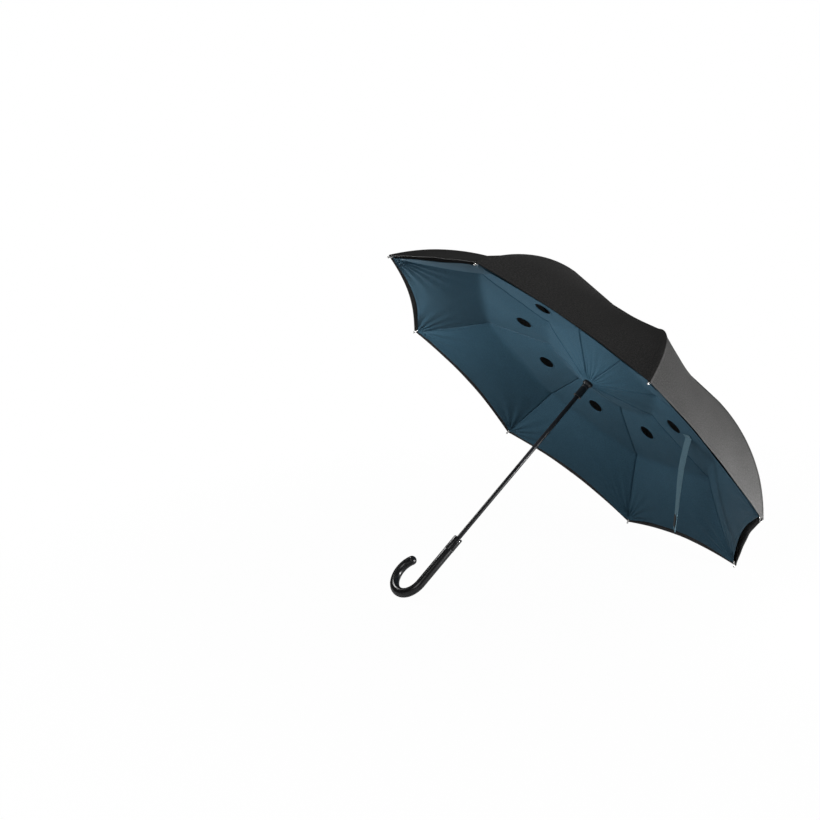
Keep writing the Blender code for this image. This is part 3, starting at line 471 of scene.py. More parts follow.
def cloth_shell(name, below, above):
    """A closed cloth from its two faces, grids of points, with the flat cut as its UV map."""
    rows, columns = below.shape[:2]
    index = np.arange(rows * columns).reshape(rows, columns)
    quads = np.stack([index[:-1, :-1], index[:-1, 1:], index[1:, 1:], index[1:, :-1]], -1).reshape(-1, 4)
    rim = np.concatenate([index[0, :], index[1:, -1], index[-1, -2::-1], index[-2:0:-1, 0]])
    after = np.roll(rim, -1)
    edge = np.stack([after, rim, rim + index.size, after + index.size], -1)
    faces = np.concatenate([quads, quads[:, ::-1] + index.size, edge])
    mesh = bpy.data.meshes.new(name)
    points = np.concatenate([below.reshape(-1, 3), above.reshape(-1, 3)])
    mesh.from_pydata(points.tolist(), [], faces.tolist())
    layer = mesh.uv_layers.new(name="cut")
    spots = np.concatenate([cut_of(below).reshape(-1, 2)] * 2)[faces.reshape(-1)]
    layer.data.foreach_set("uv", spots.astype(np.float32).reshape(-1))
    mesh.shade_smooth()
    mesh.set_sharp_from_angle(angle=math.radians(50))
    return mesh


def spaced_columns(count):
    """u from -1 to 1 across a rib's cloth, closest together at the rib."""
    side = (np.arange(count + 1) / count) ** 1.7
    return np.concatenate([-side[:0:-1], side])


def cut_of(points):
    """The flat cut of a grid: metres across from its rib and metres along it."""
    middle = points.shape[1] // 2
    along = np.linalg.norm(np.diff(points[:, middle], axis=0), axis=-1)
    y = np.concatenate([[0.0], np.cumsum(along)])[:, None] + 0 * points[..., 0]
    steps = np.linalg.norm(np.diff(points, axis=1), axis=-1)
    x = np.concatenate([np.zeros((len(points), 1)), np.cumsum(steps, axis=1)], axis=1)
    return np.stack([x - x[:, middle:middle + 1], y], -1)


def canopy_surface(t, u, lift, rib):
    """Outer cloth t metres out along the rib from its joint, u from the rib to mid panel."""
    rod_r, rod_z, rod_slope = rod_line(t)
    inner = t <= 0
    r = np.where(inner, JOINT_R + t * math.cos(ARM_SLOPE), rod_r)
    z = np.where(inner, JOINT_Z - t * math.sin(ARM_SLOPE), rod_z)
    f = np.clip((t + BEND_HALF) / (2 * BEND_HALF), 0, 1)
    over = -ARM_SLOPE + (rod_line(BEND_HALF)[2] + ARM_SLOPE) * f * f * (3 - 2 * f)
    slope = np.where(np.abs(t) < BEND_HALF, over, np.where(inner, -ARM_SLOPE, rod_slope))
    share = np.clip((t + ARM) / (ARM + ROD), 0, 1)
    bow = 2 * np.abs(u) - u * u
    sag = SAG * np.sin(math.pi * share) * bow
    dropped = TIP_DROP * np.clip((t - ROD + 0.10) / 0.09, 0, 1)
    side = np.abs(u) * r * math.tan(HALF)
    seam = SEAM_LIFT * np.clip((SEAM_HALF - side) / SEAM_FLANK, 0, 1)
    azimuth = (2 * rib - 1) * HALF + u * HALF
    ripple = RIPPLE * bow * share * np.sin(19 * azimuth + 9 * share) * np.sin(7 * azimuth + 1.3)
    up_by = LIFT - dropped - sag + lift + seam * (lift > 0) + ripple
    r, z = r - up_by * np.sin(slope), z + up_by * np.cos(slope)
    r = r * math.cos(HALF) / np.cos(HALF - np.abs(u) * HALF)
    return np.stack([r * np.cos(azimuth), r * np.sin(azimuth), z], -1)


def canopy_hem(u):
    """How far out along its rib the outer cloth ends."""
    return ROD - HEM_BACK - HEM_SCALLOP * (2 * np.abs(u) - u * u)


black_pongee = cloth_material(
    "black_pongee", (0.019, 0.0187, 0.0185), (0.058, 0.057, 0.056), 1900.0, 0.68, 0.5, 3.0,
    sheen_weight=0.03, sheen_roughness=0.45, sheen_tint=(0.55, 0.54, 0.53, 1), specular_ior_level=0.35,
)


def add_section(meshes, material, body, replaces):
    """Adds a section of stretched cloth, the first mesh, and what is sewn on it, each with a mesh of its own.
    """
    pieces = [add_piece(mesh, material, body, () if i else replaces) for i, mesh in enumerate(meshes)]
    for piece in pieces:
        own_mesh(piece)


def make_stitching():
    """Geometry nodes that lay stitches, long beads of thread, along the edges of a mesh."""
    tree = bpy.data.node_groups.new("stitching", "GeometryNodeTree")
    for label, kind in (("Line", "Geometry"), ("Pitch", "Float"), ("Bead", "Vector"), ("Thread", "Material")):
        tree.interface.new_socket(label, in_out="INPUT", socket_type=f"NodeSocket{kind}")
    tree.interface.new_socket("Stitches", in_out="OUTPUT", socket_type="NodeSocketGeometry")
    given = add_node(tree, "NodeGroupInput").outputs
    returned = add_node(tree, "NodeGroupOutput").inputs
    line = add_node(tree, "GeometryNodeMeshToCurve", {"Mesh": given["Line"]}).outputs["Curve"]
    spaced = {"Curve": line, "Length": given["Pitch"]}
    places = add_node(tree, "GeometryNodeCurveToPoints", spaced, mode="LENGTH").outputs
    ball = add_node(tree, "GeometryNodeMeshUVSphere", {"Segments": 6, "Rings": 4}).outputs["Mesh"]
    bead = add_node(tree, "GeometryNodeTransform", {"Geometry": ball, "Scale": given["Bead"]}).outputs[0]
    laid = {"Points": places["Points"], "Rotation": places["Rotation"], "Instance": bead}
    sewn = add_node(tree, "GeometryNodeInstanceOnPoints", laid).outputs["Instances"]
    for kind in ("GeometryNodeRealizeInstances", "GeometryNodeSetShadeSmooth"):
        sewn = add_node(tree, kind, {"Geometry": sewn}).outputs["Geometry"]
    last = add_node(tree, "GeometryNodeSetMaterial", {"Geometry": sewn, "Material": given["Thread"]})
    tree.links.new(last.outputs["Geometry"], returned["Stitches"])
    return tree


stitching = make_stitching()
THREAD_R = 0.00022
STITCH, STITCH_PITCH = 0.0021, 0.0027


def stitches(name, lines, thread):
    """Stitches along lines of points, as one mesh."""
    points, edges = [], []
    for line in lines:
        first = len(points)
        points += [tuple(p) for p in line]
        edges += [(i, i + 1) for i in range(first, len(points) - 1)]
    raw = bpy.data.meshes.new("raw")
    raw.from_pydata(points, edges, [])
    shape = put_in("raw", raw)
    sewing = shape.modifiers.new("sewing", "NODES")
    sewing.node_group = stitching
    values = {"Pitch": STITCH_PITCH, "Bead": (THREAD_R, THREAD_R, STITCH / 2), "Thread": thread}
    for socket in stitching.interface.items_tree:
        if socket.name in values:
            sewing[socket.identifier] = values[socket.name]
    return worked_out(name, shape)


def beside(surface, along, offset):
    """A line on a surface(along, u) that keeps a distance from the rib."""
    middle = surface(along, 0 * along)
    r = np.hypot(middle[:, 0], middle[:, 1])
    return surface(along, offset / (r * math.tan(HALF)))


def band(points, widths, width, thick, columns=10):
    """A flat band with folded edges, as a closed cloth."""
    sides = np.linspace(-1, 1, columns + 1)
    below, above = [], []
    for i, point in enumerate(points):
        along = (points[min(i + 1, len(points) - 1)] - points[max(i - 1, 0)]).normalized()
        normal = along.cross(widths[i]).normalized()
        edge = [point + widths[i] * s * width / 2 for s in sides]
        half = [thick / 2 * (0.75 + 0.25 * (abs(s) > 0.7)) for s in sides]
        below.append([tuple(p - normal * h) for p, h in zip(edge, half)])
        above.append([tuple(p + normal * h) for p, h in zip(edge, half)])
    return np.array(below), np.array(above)


ABOVE, UNDER = 0.0002, 0.0001    # from a cloth's face to the middle of its stitches
HEM_WIDTH = 0.010
HEM_THICK = 0.0006
HEM_STITCH = 0.0085          # from the edge
SEAM_STITCH = 0.0022         # from the middle of a seam
HEM_GAP = 0.00005            # between a cloth and its turned-in hem
EDGE_R = 0.0008              # rolled edge of a hem


def edge_roll(points, radius, sides=8):
    """A round roll along an edge, from an array of points."""
    line = [Vector(p) for p in points]
    return swept(line, [radius] * len(line), sides)


u = spaced_columns(COLUMNS)[None, :]
for k in range(1, RIBS + 1):
    for part, start, end, rows, seam, body in (
        ("inner", CROWN_HOLE - ARM, 0 * u, 44, (CROWN_HOLE - ARM + 0.03, -0.001), f"stretcher_{k}"),
        ("outer", 0.0, canopy_hem(u), 52, (0.001, ROD - 0.02), f"rib_rod_{k}"),
    ):
        t = start + (end - start) * np.linspace(0, 1, rows + 1)[:, None]
        below, above = canopy_surface(t, u, 0.0, k), canopy_surface(t, u, CLOTH, k)
        meshes = [cloth_shell(f"canopy_cloth_{part}_{k}", below, above)]
        lines = [beside(lambda t, u: canopy_surface(t, u, CLOTH + ABOVE, k), np.linspace(*seam, 60),
                        side * SEAM_STITCH) for side in (-1, 1)]
        if part == "outer":
            edge = canopy_hem(u[0])
            for lift in (CLOTH + UNDER, -HEM_THICK - UNDER):
                lines.append(canopy_surface(edge - HEM_STITCH, u[0], lift, k))
            t = canopy_hem(u) - HEM_WIDTH * np.linspace(1, 0, 5)[:, None]
            faces = (canopy_surface(t, u, lift, k) for lift in (-HEM_THICK, -HEM_GAP))
            meshes.append(cloth_shell(f"canopy_hem_{k}", *faces))
            roll = edge_roll(canopy_surface(edge, u[0], 0.0, k), EDGE_R)
            meshes.append(mesh_from(f"canopy_edge_{k}", *roll))
        meshes.append(stitches(f"canopy_stitches_{part}_{k}", lines, black_pongee))
        add_section(meshes, black_pongee, body, [f"canopy_{part}_{k}"])


# Lining
# Eight gores of petrol blue polyester, sewn together along the ribs, gathered on the
# runner's hub, tied under each rib twice and sewn to the rib tips. Being tied only
# there, it stands in flat facets. Each gore has one bound vent hole.
COLLAR_KNOT = (0.0128, 0.0967)
TIES = ((0.161, 0.139), (0.354, 0.118))
LINING_BACK, LINING_DROP = 0.0125, -0.0036     # hem: short of the rod's end, and under it
LINING_SCALLOPS = (0.0235, 0.0235, 0.0235, 0.0225, 0.0075, 0.0310, 0.0320, 0.0215)     # for each panel
FACET_SAG = 0.002
MID_SAG = 0.004
OUTER_SAG = 0.009
CREASE_SOFT = (0.02, 0.07)    # in rows, at a rib and added to it in mid panel
SEAM_GROOVE, GROOVE_HALF = 0.0030, 0.0015
VENT_R = 0.020
VENT_ROW = 1.355
VENT_SIDES, VENT_CUT = 72, 0.02    # of the plug that cuts it, which reaches this far each way
ROW_LENGTH = 0.1783          # along a panel's middle from one tie row to the next
DIMPLE, DIMPLE_REACH = 0.0024, 0.011           # where a tie pulls
TIP_FOLDS, TIP_FOLD_REACH = 0.0038, 0.055
GATHERS, GATHER_REACH = 0.0011, 0.05           # at the collar
FOLDS_START = 0.012                            # from the tip, and from the collar
SLACK = 0.0009               # waves over a whole panel

end_r, end_z, end_slope = rod_line(ROD - LINING_BACK)
HEM_KNOT = (end_r - LINING_DROP * math.sin(end_slope), end_z + LINING_DROP * math.cos(end_slope))
KNOTS = np.array([COLLAR_KNOT, *TIES, HEM_KNOT])


def lining_surface(row, azimuth, lift=0.0):
    """Lining at a row, 0 at the collar, 1 and 2 at its ties and 3 at the hem."""
    row, azimuth = np.broadcast_arrays(row, azimuth)
    panel = np.round(azimuth / (2 * HALF))
    v = azimuth / HALF - 2 * panel
    bow = 1 - v * v
    soft = CREASE_SOFT[0] + CREASE_SOFT[1] * bow
    r = np.interp(row, range(4), KNOTS[:, 0])
    z = np.interp(row, range(4), KNOTS[:, 1])
    for tie in (1, 2):
        x = row - tie
        ease = np.where(np.abs(x) < soft, (x * x + soft * soft) / (2 * soft) - np.abs(x), 0)
        turn = (KNOTS[tie + 1] - KNOTS[tie]) - (KNOTS[tie] - KNOTS[tie - 1])
        r, z = r + ease * turn[0] / 2, z + ease * turn[1] / 2
    sag = np.where(row < 1, FACET_SAG * row, np.where(row < 2, FACET_SAG, FACET_SAG * (3 - row)))
    sag = sag + np.where((row > 1) & (row < 2), MID_SAG * np.sin(math.pi * (row - 1)), 0)
    out = np.clip(row - 2, 0, None)
    slack = OUTER_SAG * np.sin(math.pi * np.clip(out, 0, 1)) * (0.35 + 0.65 * bow)
    fall = math.atan2(TIES[1][1] - HEM_KNOT[1], TIES[1][0] - HEM_KNOT[0])
    scallop = np.array(LINING_SCALLOPS)[panel.astype(int) % RIBS] * bow * out
    r, z = r + scallop * math.cos(fall), z + scallop * math.sin(fall) - slack
    side = (1 - np.abs(v)) * r * math.tan(HALF)
    z = z - sag * bow + lining_relief(row, v, azimuth, r, side)
    r = r * math.cos(HALF) / np.cos(v * HALF)
    return np.stack([r * np.cos(azimuth), r * np.sin(azimuth), z + lift], -1)


def lining_relief(row, v, azimuth, r, side):
    """Seam grooves, dimples at the ties and the folds that pull at the tips and collar."""
    groove = SEAM_GROOVE * np.exp(-(side / GROOVE_HALF) ** 2) * np.clip((3 - row) / 0.35, 0, 1)
    relief = groove * np.clip((r - COLLAR_KNOT[0]) / 0.02, 0, 1)
    for tie_r, _ in TIES:
        away = np.hypot(side, r - tie_r)
        relief = relief + DIMPLE * np.exp(-(away / DIMPLE_REACH) ** 2)
    along = (3 - row) * ROW_LENGTH
    corner = np.hypot(along, side)
    bearing = np.arctan2(side, along + 1e-9)
    swing = 15 + 4 * np.sin(3 * azimuth)
    pull = TIP_FOLDS * np.exp(-corner / TIP_FOLD_REACH) * (1 - np.exp(-(corner / FOLDS_START) ** 2))
    relief = relief + pull * np.sin(bearing * swing)
    near = np.clip((r - COLLAR_KNOT[0]) / FOLDS_START, 0, 1)
    gathers = GATHERS * near * np.exp(-(r - COLLAR_KNOT[0]) / GATHER_REACH)
    relief = relief + gathers * np.sin(32 * azimuth + 1.2 * np.sin(3 * azimuth + 1) + 8 * row)
    slack = SLACK * (1 - v * v) * np.sin(11 * azimuth + 3.3 * row) * np.sin(5 * azimuth - 2.1 * row + 1)
    return relief + slack * np.clip(row, 0, 1)


def fold_row(u):
    """Row where the lining folds, straight across each rib at its joint."""
    r = JOINT_R * np.cos(HALF - np.abs(u) * HALF) / (math.cos(HALF) * np.cos(u * HALF))
    return np.interp(r, KNOTS[:, 0], range(4))


petrol_polyester = cloth_material(
    "petrol_polyester", (0.031, 0.088, 0.134), (0.057, 0.140, 0.203), 2100.0, 0.66, 0.6, 1.2,
    sheen_weight=0.03, sheen_roughness=0.5, sheen_tint=(0.55, 0.75, 0.85, 1), specular_ior_level=0.3,
)


def cut_out(mesh, cutter):
    """The mesh with a cutter's shape taken out."""
    name, shape, tool = mesh.name, put_in("cut", mesh), put_in("cutter", cutter)
    cut = shape.modifiers.new("cut", "BOOLEAN")
    cut.operation, cut.object, cut.solver = "DIFFERENCE", tool, "EXACT"
    result = worked_out(name, shape)
    bpy.data.objects.remove(tool, do_unlink=True)
    return result


def vent_edge(panel_azimuth, angles, lift=0.0, radius=VENT_R):
    """Points round a vent hole in the panel at that azimuth."""
    row = VENT_ROW + radius * np.sin(angles) / ROW_LENGTH
    r = np.interp(row, range(4), KNOTS[:, 0]) * math.cos(HALF)
    azimuth = panel_azimuth + np.arctan2(radius * np.cos(angles), r)
    return lining_surface(row, azimuth, lift)


def vent_cutter(panel_azimuth):
    """A plug through the lining in the shape of a vent hole."""
    n = VENT_SIDES
    round_it = np.arange(n) * 2 * math.pi / n
    low, high = (vent_edge(panel_azimuth, round_it, lift) for lift in (-VENT_CUT, VENT_CUT))
    sides = [(n + i, n + (i + 1) % n, (i + 1) % n, i) for i in range(n)]
    caps = [tuple(range(n)), tuple(range(n, 2 * n))[::-1]]
    mesh = bpy.data.meshes.new("vent")
    mesh.from_pydata([*low.tolist(), *high.tolist()], [], sides + caps)
    return mesh


BINDING_W, BINDING_T = 0.0019, 0.0011        # half width and half thickness of a vent's binding
TIE_W, TIE_T, TIE_STEPS = 0.008, 0.0008, 8
TIE_UNDER_ARM = 0.0027       # from the arm's centre line to the top of its tie
TIE_UNDER_ROD = 0.0010       # from the rod's surface
FOLD_ROWS = (1.28, 2.06)     # a strip behind the lining bridges the rib's joint between these rows
FOLD_HALF = 0.46             # and this share of the way to mid panel
FOLD_LIFT = 0.0012
FOLD_BEND = (1.5, 1.8)       # two rows on the rib; their points are worked out but not used
LINING_HEM = 0.06            # in rows
LINING_STITCH = 0.0026


def vent_binding(rib_azimuth, rings=33, sides=10):
    """Tape round the two half vents that a rib's part of the lining has."""
    points, faces = [], []
    for side in (-1, 1):
        angles = side * math.pi / 2 + np.linspace(0.01, math.pi - 0.01, rings)
        section = []
        for i in range(sides):
            a = 2 * math.pi * i / sides
            section.append(vent_edge(rib_azimuth + side * HALF, angles, CLOTH / 2 + BINDING_T * math.sin(a),
                                     VENT_R + BINDING_W * (0.55 + math.cos(a))))
        first, last = len(points), len(points) + (rings - 1) * sides
        points += np.stack(section, axis=1).reshape(-1, 3).tolist()
        faces += [tuple(range(first, first + sides)), tuple(range(last, last + sides))[::-1]]
        faces += walls(rings, sides, first, flip=True)
    return points, faces


def tie_tape(name, tie, rib_azimuth):
    """A tape from the lining up to the rib, where it is knotted round."""
    r = TIES[tie][0]
    top = RUNNER_PIVOT + (r - PIVOT_R) * math.tan(ARM_SLOPE) - TIE_UNDER_ARM
    if r > JOINT_R:
        arc = np.linspace(0, ROD, 400)
        rod_r, rod_z, _ = rod_line(arc)
        top = float(np.interp(r + TIE_W / 2, rod_r, rod_z)) - ROD_R - TIE_UNDER_ROD
    out, round_rib = Vector((math.cos(rib_azimuth), math.sin(rib_azimuth), 0)), Vector((0, 0, 1))
    foot = Vector(lining_surface(1.0 + tie, rib_azimuth, CLOTH)) + round_rib * 0.0002
    points = [foot + round_rib * ((top - foot.z) * i / TIE_STEPS) for i in range(TIE_STEPS + 1)]
    return cloth_shell(name, *band(points, [out] * len(points), TIE_W, TIE_T, 4))


joint = float(fold_row(0.0))
for k in range(1, RIBS + 1):
    rib_azimuth = (2 * k - 1) * HALF
    azimuth = rib_azimuth + u * HALF
    for part, first, last, rows, seam, body in (
        ("inner", 0 * u, fold_row(u), 62, (0.12, joint - 0.01), f"rib_arm_{k}"),
        ("outer", fold_row(u), 3 + 0 * u, 56, (joint + 0.01, 2.9), f"rib_rod_{k}"),
    ):
        row = first + (last - first) * np.linspace(0, 1, rows + 1)[:, None]
        below, above = lining_surface(row, azimuth), lining_surface(row, azimuth, CLOTH)
        cloth = cloth_shell(f"lining_{part}_{k}", below, above)
        lines = [beside(lambda row, u: lining_surface(row, rib_azimuth + u * HALF, -UNDER),
                        np.linspace(*seam, 70), side * LINING_STITCH) for side in (-1, 1)]
        if part == "inner":
            for side in (-1, 1):
                cloth = cut_out(cloth, vent_cutter(rib_azimuth + side * HALF))
            trim = mesh_from(f"vent_binding_{k}", *vent_binding(rib_azimuth))
        else:
            lines.append(lining_surface(3 - LINING_HEM * 0.85 + 0 * u[0], azimuth[0], -UNDER))
            turned_in = np.linspace(3 - LINING_HEM, 3.0, 5)[:, None]
            faces = (lining_surface(turned_in, azimuth, CLOTH + lift) for lift in (HEM_GAP, HEM_THICK))
            trim = cloth_shell(f"lining_hem_{k}", *faces)
        tape = tie_tape(f"tie_{part}_{k}", 0 if part == "inner" else 1, rib_azimuth)
        thread = stitches(f"lining_stitches_{part}_{k}", lines, petrol_polyester)
        add_section([cloth, trim, tape, thread], petrol_polyester, body, ["lining"])
    row = np.linspace(*FOLD_ROWS, 26)[:, None]
    beside_rib = rib_azimuth + np.linspace(-1, 1, 17)[None, :] * FOLD_HALF * HALF
    below, above = (lining_surface(row, beside_rib, CLOTH * i + FOLD_LIFT) for i in (1, 2))
    fold = add_piece(cloth_shell(f"lining_fold_{k}", below, above), petrol_polyester, None)
    bend_from, bend_to = (LAID @ Vector(lining_surface(at, rib_azimuth)) for at in FOLD_BEND)
    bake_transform(fold)


# Handle
# The hook is one moulded grip in gloss black lacquer. A separate sleeve with an open
# mouth sits on its top, glued on the shaft, and holds the push button that frees the
# runner.
MOUTH = -0.368               # top of the sleeve
SLEEVE = 0.0347
SLEEVE_R = 0.0107
SLEEVE_BORE = 0.0080
MOUTH_DEPTH = 0.005
GRIP_R = 0.0105
GRIP_STRAIGHT = 0.129        # sleeve's top to the start of the curve
HOOK_R = 0.044
HOOK_ARC = math.radians(223.0)
HOOK_STEPS, END_STEPS = 84, 11    # round its curve and over its blunt end
HOOK_AZIMUTH = math.radians(97.0)
PART_LINE = 0.0003           # between the sleeve and the grip
BUTTON = (-0.3985, -0.3775)
BUTTON_HALF = 0.0035
BUTTON_FACE = 0.01185
POCKET_FLOOR = 0.0083
POCKET_CUT = (0.0060, 0.014)    # from under its floor to outside the sleeve
SLEEVE_FIT = 0.0003          # round the shaft, and round the button in its pocket
RIM_OUT = 0.0098             # outside of the sleeve's flat rim


def hook_line():
    """Centres and radii from the sleeve down the grip and round the hook to its blunt end."""
    side = Vector((math.cos(HOOK_AZIMUTH), math.sin(HOOK_AZIMUTH), 0))
    top, bend = MOUTH - SLEEVE - PART_LINE, MOUTH - GRIP_STRAIGHT
    centre = side * HOOK_R + Vector((0, 0, bend))
    points, radii = [], []
    for f, radius in ((0, GRIP_R - 0.0005), (0.003, GRIP_R - 0.0001), (0.012, GRIP_R), (0.5, GRIP_R)):
        points.append(Vector((0, 0, top + (bend - top) * f)))
        radii.append(radius)
    for i in range(HOOK_STEPS + 1):
        a = HOOK_ARC * i / HOOK_STEPS
        points.append(centre - side * HOOK_R * math.cos(a) - Vector((0, 0, HOOK_R * math.sin(a))))
        radii.append(GRIP_R)
    ahead = (side * math.sin(HOOK_ARC) - Vector((0, 0, math.cos(HOOK_ARC)))).normalized()
    last = points[-1]
    for i in range(1, END_STEPS + 1):
        a = math.radians(88) * i / END_STEPS
        points.append(last + ahead * GRIP_R * 0.95 * math.sin(a))
        radii.append(GRIP_R * math.cos(a))
    return points, radii


black_lacquer = hard_material(
    "black_lacquer", (0.008, 0.008, 0.009), (0.05, 0.05, 0.05), 0.28, 0.2, 300.0, 0.02,
    coat_weight=0.3, coat_roughness=0.20,
)
add_piece(mesh_from("hook", *swept(*hook_line())), black_lacquer, "shaft", ["hook_grip"])


def stadium(half_width, low, high, x, sides=12):
    """An upright slot outline at distance x from the axis, in the plane of azimuth 0."""
    ring = []
    for end, first in ((high - half_width, 0), (low + half_width, math.pi)):
        for i in range(sides + 1):
            a = first + math.pi * i / sides
            ring.append(Vector((x, half_width * math.cos(a), end + half_width * math.sin(a))))
    return ring


BUTTON_SIDE = Matrix.Rotation(HOOK_AZIMUTH - math.pi, 4, "Z")


def slot_shape(layers):
    """A closed slot-shaped shape through its layers, outlines of stadium() at growing x."""
    n = len(layers[0])
    points = [p for layer in layers for p in layer]
    ends = [tuple(range(n))[::-1], tuple((len(layers) - 1) * n + i for i in range(n))]
    return [BUTTON_SIDE @ p for p in points], ends + walls(len(layers), n)


button_low, button_high = BUTTON
sleeve_foot, round_shaft = MOUTH - SLEEVE, SHAFT_R + SLEEVE_FIT
sleeve_outline = rounded([
    (round_shaft, sleeve_foot), (round_shaft, MOUTH - MOUTH_DEPTH), (SLEEVE_BORE, MOUTH - MOUTH_DEPTH),
    (SLEEVE_BORE, MOUTH), (RIM_OUT, MOUTH), (RIM_OUT + 0.0005, MOUTH - 0.0004), (SLEEVE_R, MOUTH - 0.0016),
    (SLEEVE_R, sleeve_foot), (round_shaft, sleeve_foot),
], 0.0006)
sleeve_mesh = mesh_from("sleeve", *turned(sleeve_outline))
pocket = mesh_from("pocket", *slot_shape([
    stadium(BUTTON_HALF + SLEEVE_FIT, button_low - SLEEVE_FIT, button_high + SLEEVE_FIT, x)
    for x in POCKET_CUT
]))
add_piece(cut_out(sleeve_mesh, pocket), black_lacquer, "shaft", ["grip_sleeve"])
button_layers = []
for inset, x in ((0, POCKET_FLOOR), (0, BUTTON_FACE - 0.0009), (0.0002, BUTTON_FACE - 0.0004),
                 (0.0006, BUTTON_FACE - 0.0001), (0.0013, BUTTON_FACE)):
    button_layers.append(stadium(BUTTON_HALF - inset, button_low + inset, button_high - inset, x))
button_mesh = mesh_from("button", *slot_shape(button_layers))
add_piece(button_mesh, satin_black, "push_button", ["push_button"])

# A bright catch pin ends just above the button.
PIN_R, PIN_HIGH, PIN_AT = 0.0018, 0.0007, -0.3745
pin_outline = [(0, 0), (PIN_R, 0), (PIN_R, PIN_HIGH * 0.4), (PIN_R * 0.8, PIN_HIGH * 0.75),
               (PIN_R * 0.45, PIN_HIGH), (0, PIN_HIGH)]
points, faces = turned(rounded(pin_outline, 0.0003), 24)
stand = (BUTTON_SIDE @ Matrix.Translation((SLEEVE_R - 0.0001, 0, PIN_AT))
         @ Matrix.Rotation(math.pi / 2, 4, "Y"))
pin = mesh_from("catch_pin", [stand @ Vector(p) for p in points], [f[::-1] for f in faces])
add_piece(pin, bright_nickel, "shaft")


# Closure strap
# A band of petrol tape sewn to one panel of the lining, which wraps round the closed
# umbrella. It ends in a plain folded tab of black tape.
STRAP_W, STRAP_T = 0.024, 0.0008
STRAP_ROW, STRAP_AZIMUTH = 1.60, math.radians(-48.0)
STRAP_HANG = (-0.0215, 0.0200, -0.212)      # as the laid-down umbrella's strap hangs
STRAP_FLAT, STRAP_WIDE = (0.10, 0.99, 0), (0.40, 0.92, 0)    # across it, where it is sewn and at its end
STRAP_BOWS_TO, STRAP_BOW, STRAP_WAVE = (-0.28, 0.96, 0), 0.006, 0.0015
STRAP_TWIST = 0.16
STRAP_LIFT = 0.0006          # from the lining's face to its own
STRAP_STITCH = 0.0098        # from its middle
STRAP_SEWN = 0.012           # length that is sewn down
TAB_L, TAB_W, TAB_T = 0.026, 0.020, 0.0012
TAB_ABOVE = 0.034            # its top, above the strap's end


def strap_line(count=40):
    """Centres and width directions down the strap, upright."""
    from_laid = LAID.to_3x3().inverted()
    here = Vector(lining_surface(STRAP_ROW, STRAP_AZIMUTH))
    sideways = Vector(lining_surface(STRAP_ROW, STRAP_AZIMUTH + 0.02)) - here
    outwards = Vector(lining_surface(STRAP_ROW + 0.05, STRAP_AZIMUTH)) - here
    normal = sideways.cross(outwards).normalized()
    normal *= -1 if normal.z > 0 else 1
    hang, wide = from_laid @ Vector(STRAP_HANG), (from_laid @ Vector(STRAP_WIDE)).normalized()
    flat = from_laid @ Vector(STRAP_FLAT)
    flat = (flat - normal * normal.dot(flat)).normalized()
    sewn = (hang - normal * normal.dot(hang)).normalized() * STRAP_SEWN
    start = here + normal * (STRAP_T / 2 + STRAP_LIFT)
    points, widths = [start - sewn, start - sewn * 0.5], [flat, flat]
    for i in range(count + 1):
        f = i / count
        out = STRAP_BOW * math.sin(math.pi * f) + STRAP_WAVE * math.sin(7 * f)
        points.append(start + hang * f + from_laid @ Vector(STRAP_BOWS_TO) * out)
        turn = math.sqrt(f)
        twist = STRAP_TWIST * math.sin(4.5 * f)
        widths.append((flat * (1 - turn) + wide * turn + normal * twist).normalized())
    return points, widths


# The tape's colour is lighter than the lining's: partly its own tint, partly painted light standing in for
# the lamp light and sheen the strap catches.
petrol_tape_with_painted_light = cloth_material(
    "petrol_tape_with_painted_light", (0.085, 0.175, 0.230), (0.150, 0.270, 0.330), 1500.0, 0.55, 0.35, 1.2,
    sheen_weight=0.3, sheen_roughness=0.4, sheen_tint=(0.55, 0.75, 0.85, 1), specular_ior_level=0.4,
)
strap_points, strap_widths = strap_line()
below, above = band(strap_points, strap_widths, STRAP_W, STRAP_T)
strap = add_piece(cloth_shell("strap_band", below, above), petrol_tape_with_painted_light, "strap", ["strap"])
lines = []
for side in (-1, 1):
    for face in (-1, 1):
        line = []
        for i in range(1, len(strap_points) - 1):
            along = (strap_points[i + 1] - strap_points[i - 1]).normalized()
            out = along.cross(strap_widths[i]).normalized()
            line.append(strap_points[i] + strap_widths[i] * side * STRAP_STITCH + out * face * STRAP_T * 0.42)
        lines.append(line)
thread = add_piece(stitches("strap_stitches", lines, petrol_tape_with_painted_light), petrol_tape_with_painted_light, "strap")

black_tape = cloth_material(
    "black_tape", (0.012, 0.012, 0.012), (0.035, 0.035, 0.035), 900.0, 0.75, 0.3, 1.0,
    sheen_weight=0.2, sheen_roughness=0.5, specular_ior_level=0.3,
)
along = (strap_points[-1] - strap_points[-2]).normalized()
TAB_STEPS = 14
tab_points = [strap_points[-1] + along * (TAB_L * i / TAB_STEPS - TAB_ABOVE) for i in range(TAB_STEPS + 1)]
below, above = band(tab_points, [strap_widths[-1]] * len(tab_points), TAB_W, STRAP_T + 2 * TAB_T)
tab = add_piece(cloth_shell("tab", below, above), black_tape, "strap", ["strap_tab"])
for piece in (strap, thread, tab):
    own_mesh(piece)


# Floor, light and camera
# A pale studio floor that fades to white, a soft key from the upper left, a weaker
# light on the outer cloth at the right, and a camera low to the left of the hook.
CAMERA_AT = (-1.3021, -2.0681, 0.8720)
CAMERA_TURN = (78.831, 2.467, -25.320)
LENS = 48.26

camera = put_in("camera", bpy.data.cameras.new("camera"))
camera.data.lens = LENS
camera.location = CAMERA_AT
camera.rotation_euler = [math.radians(a) for a in CAMERA_TURN]
bpy.context.scene.camera = camera

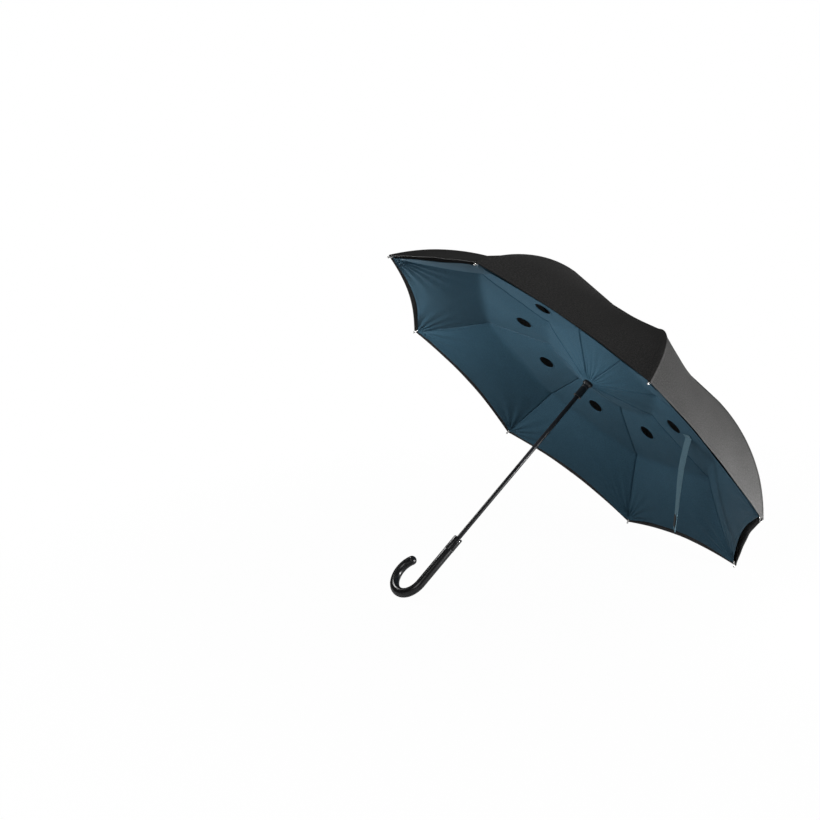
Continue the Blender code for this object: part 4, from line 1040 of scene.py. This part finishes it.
FLOOR_WHITE = 0.92
MIRRORED = 0.05              # how white the studio is in a gloss finish
FLOOR_BOUNCE = 0.12          # how white it is to the cloth above it
floor_mesh = bpy.data.meshes.new("floor")
FLOOR = 30.0
floor_mesh.from_pydata([(-FLOOR, -FLOOR, 0), (FLOOR, -FLOOR, 0), (FLOOR, FLOOR, 0), (-FLOOR, FLOOR, 0)], [],
                       [(0, 1, 2, 3)])
floor = put_in("floor", floor_mesh)
floor_paint, tree, shader = new_material("pale_floor", roughness=0.9)
place = add_node(tree, "ShaderNodeTexCoord").outputs["Object"]
distance = add_node(tree, "ShaderNodeVectorMath", {0: place}, operation="LENGTH").outputs["Value"]
fading = {"Value": distance, "From Min": 0.3, "From Max": 1.5, "To Min": 0.98, "To Max": 1.0}
fade = add_node(tree, "ShaderNodeMapRange", fading, clamp=True).outputs[0]
ray = add_node(tree, "ShaderNodeLightPath")
bounce = maths(tree, "MULTIPLY", ray.outputs["Is Diffuse Ray"], FLOOR_WHITE - FLOOR_BOUNCE)
tree.links.new(maths(tree, "SUBTRACT", FLOOR_WHITE, bounce), shader.inputs["Base Color"])
mirrored = maths(tree, "MULTIPLY", ray.outputs["Is Glossy Ray"], MIRRORED)
seen = maths(tree, "MAXIMUM", ray.outputs["Is Camera Ray"], mirrored)
white = add_node(tree, "ShaderNodeEmission").outputs[0]
layers = {0: maths(tree, "MULTIPLY", fade, seen), 1: shader.outputs[0], 2: white}
blend = add_node(tree, "ShaderNodeMixShader", layers)
tree.links.new(blend.outputs[0], tree.nodes["Material Output"].inputs["Surface"])
floor_mesh.materials.append(floor_paint)

world = bpy.data.worlds.new("studio")
bpy.context.scene.world = world
world.use_nodes = True
tree = world.node_tree
backdrop = tree.nodes["Background"]
backdrop.inputs["Color"].default_value = (1, 1, 1, 1)
ray = add_node(tree, "ShaderNodeLightPath")
AMBIENT = 0.09
mirrored = maths(tree, "MULTIPLY", ray.outputs["Is Glossy Ray"], MIRRORED)
ambient = maths(tree, "MULTIPLY", ray.outputs["Is Diffuse Ray"], AMBIENT)
strength = maths(tree, "MAXIMUM", ray.outputs["Is Camera Ray"], maths(tree, "MAXIMUM", mirrored, ambient))
tree.links.new(strength, backdrop.inputs["Strength"])


def add_light(name, at, towards, size, power, shadow=True):
    """A soft square lamp that the camera doesn't see; without shadow it has no highlight."""
    lamp = bpy.data.lights.new(name, "AREA")
    lamp.size, lamp.energy = size, power
    light = put_in(name, lamp)
    light.location = at
    light.rotation_euler = (Vector(towards) - Vector(at)).to_track_quat("-Z", "Y").to_euler()
    light.visible_camera = False
    lamp.use_shadow = light.visible_glossy = shadow


add_light("key", (-0.46, 0.48, 0.58), (0.0, 0.1, 0.5), 0.25, 2.3)
add_light("inner", (-0.14, -0.05, 0.33), (0.25, -0.05, 0.68), 0.20, 0.38, False)
add_light("side", (0.50, -0.99, 0.12), (0.42, -0.30, 0.55), 0.25, 23)
add_light("top", (0.20, -0.30, 2.20), (0.1, 0, 0.4), 0.8, 5)
add_light("front", (-2.0, -1.2, 1.3), (-0.2, -0.1, 0.3), 1.0, 8)

bpy.context.scene.view_settings.view_transform = "Standard"
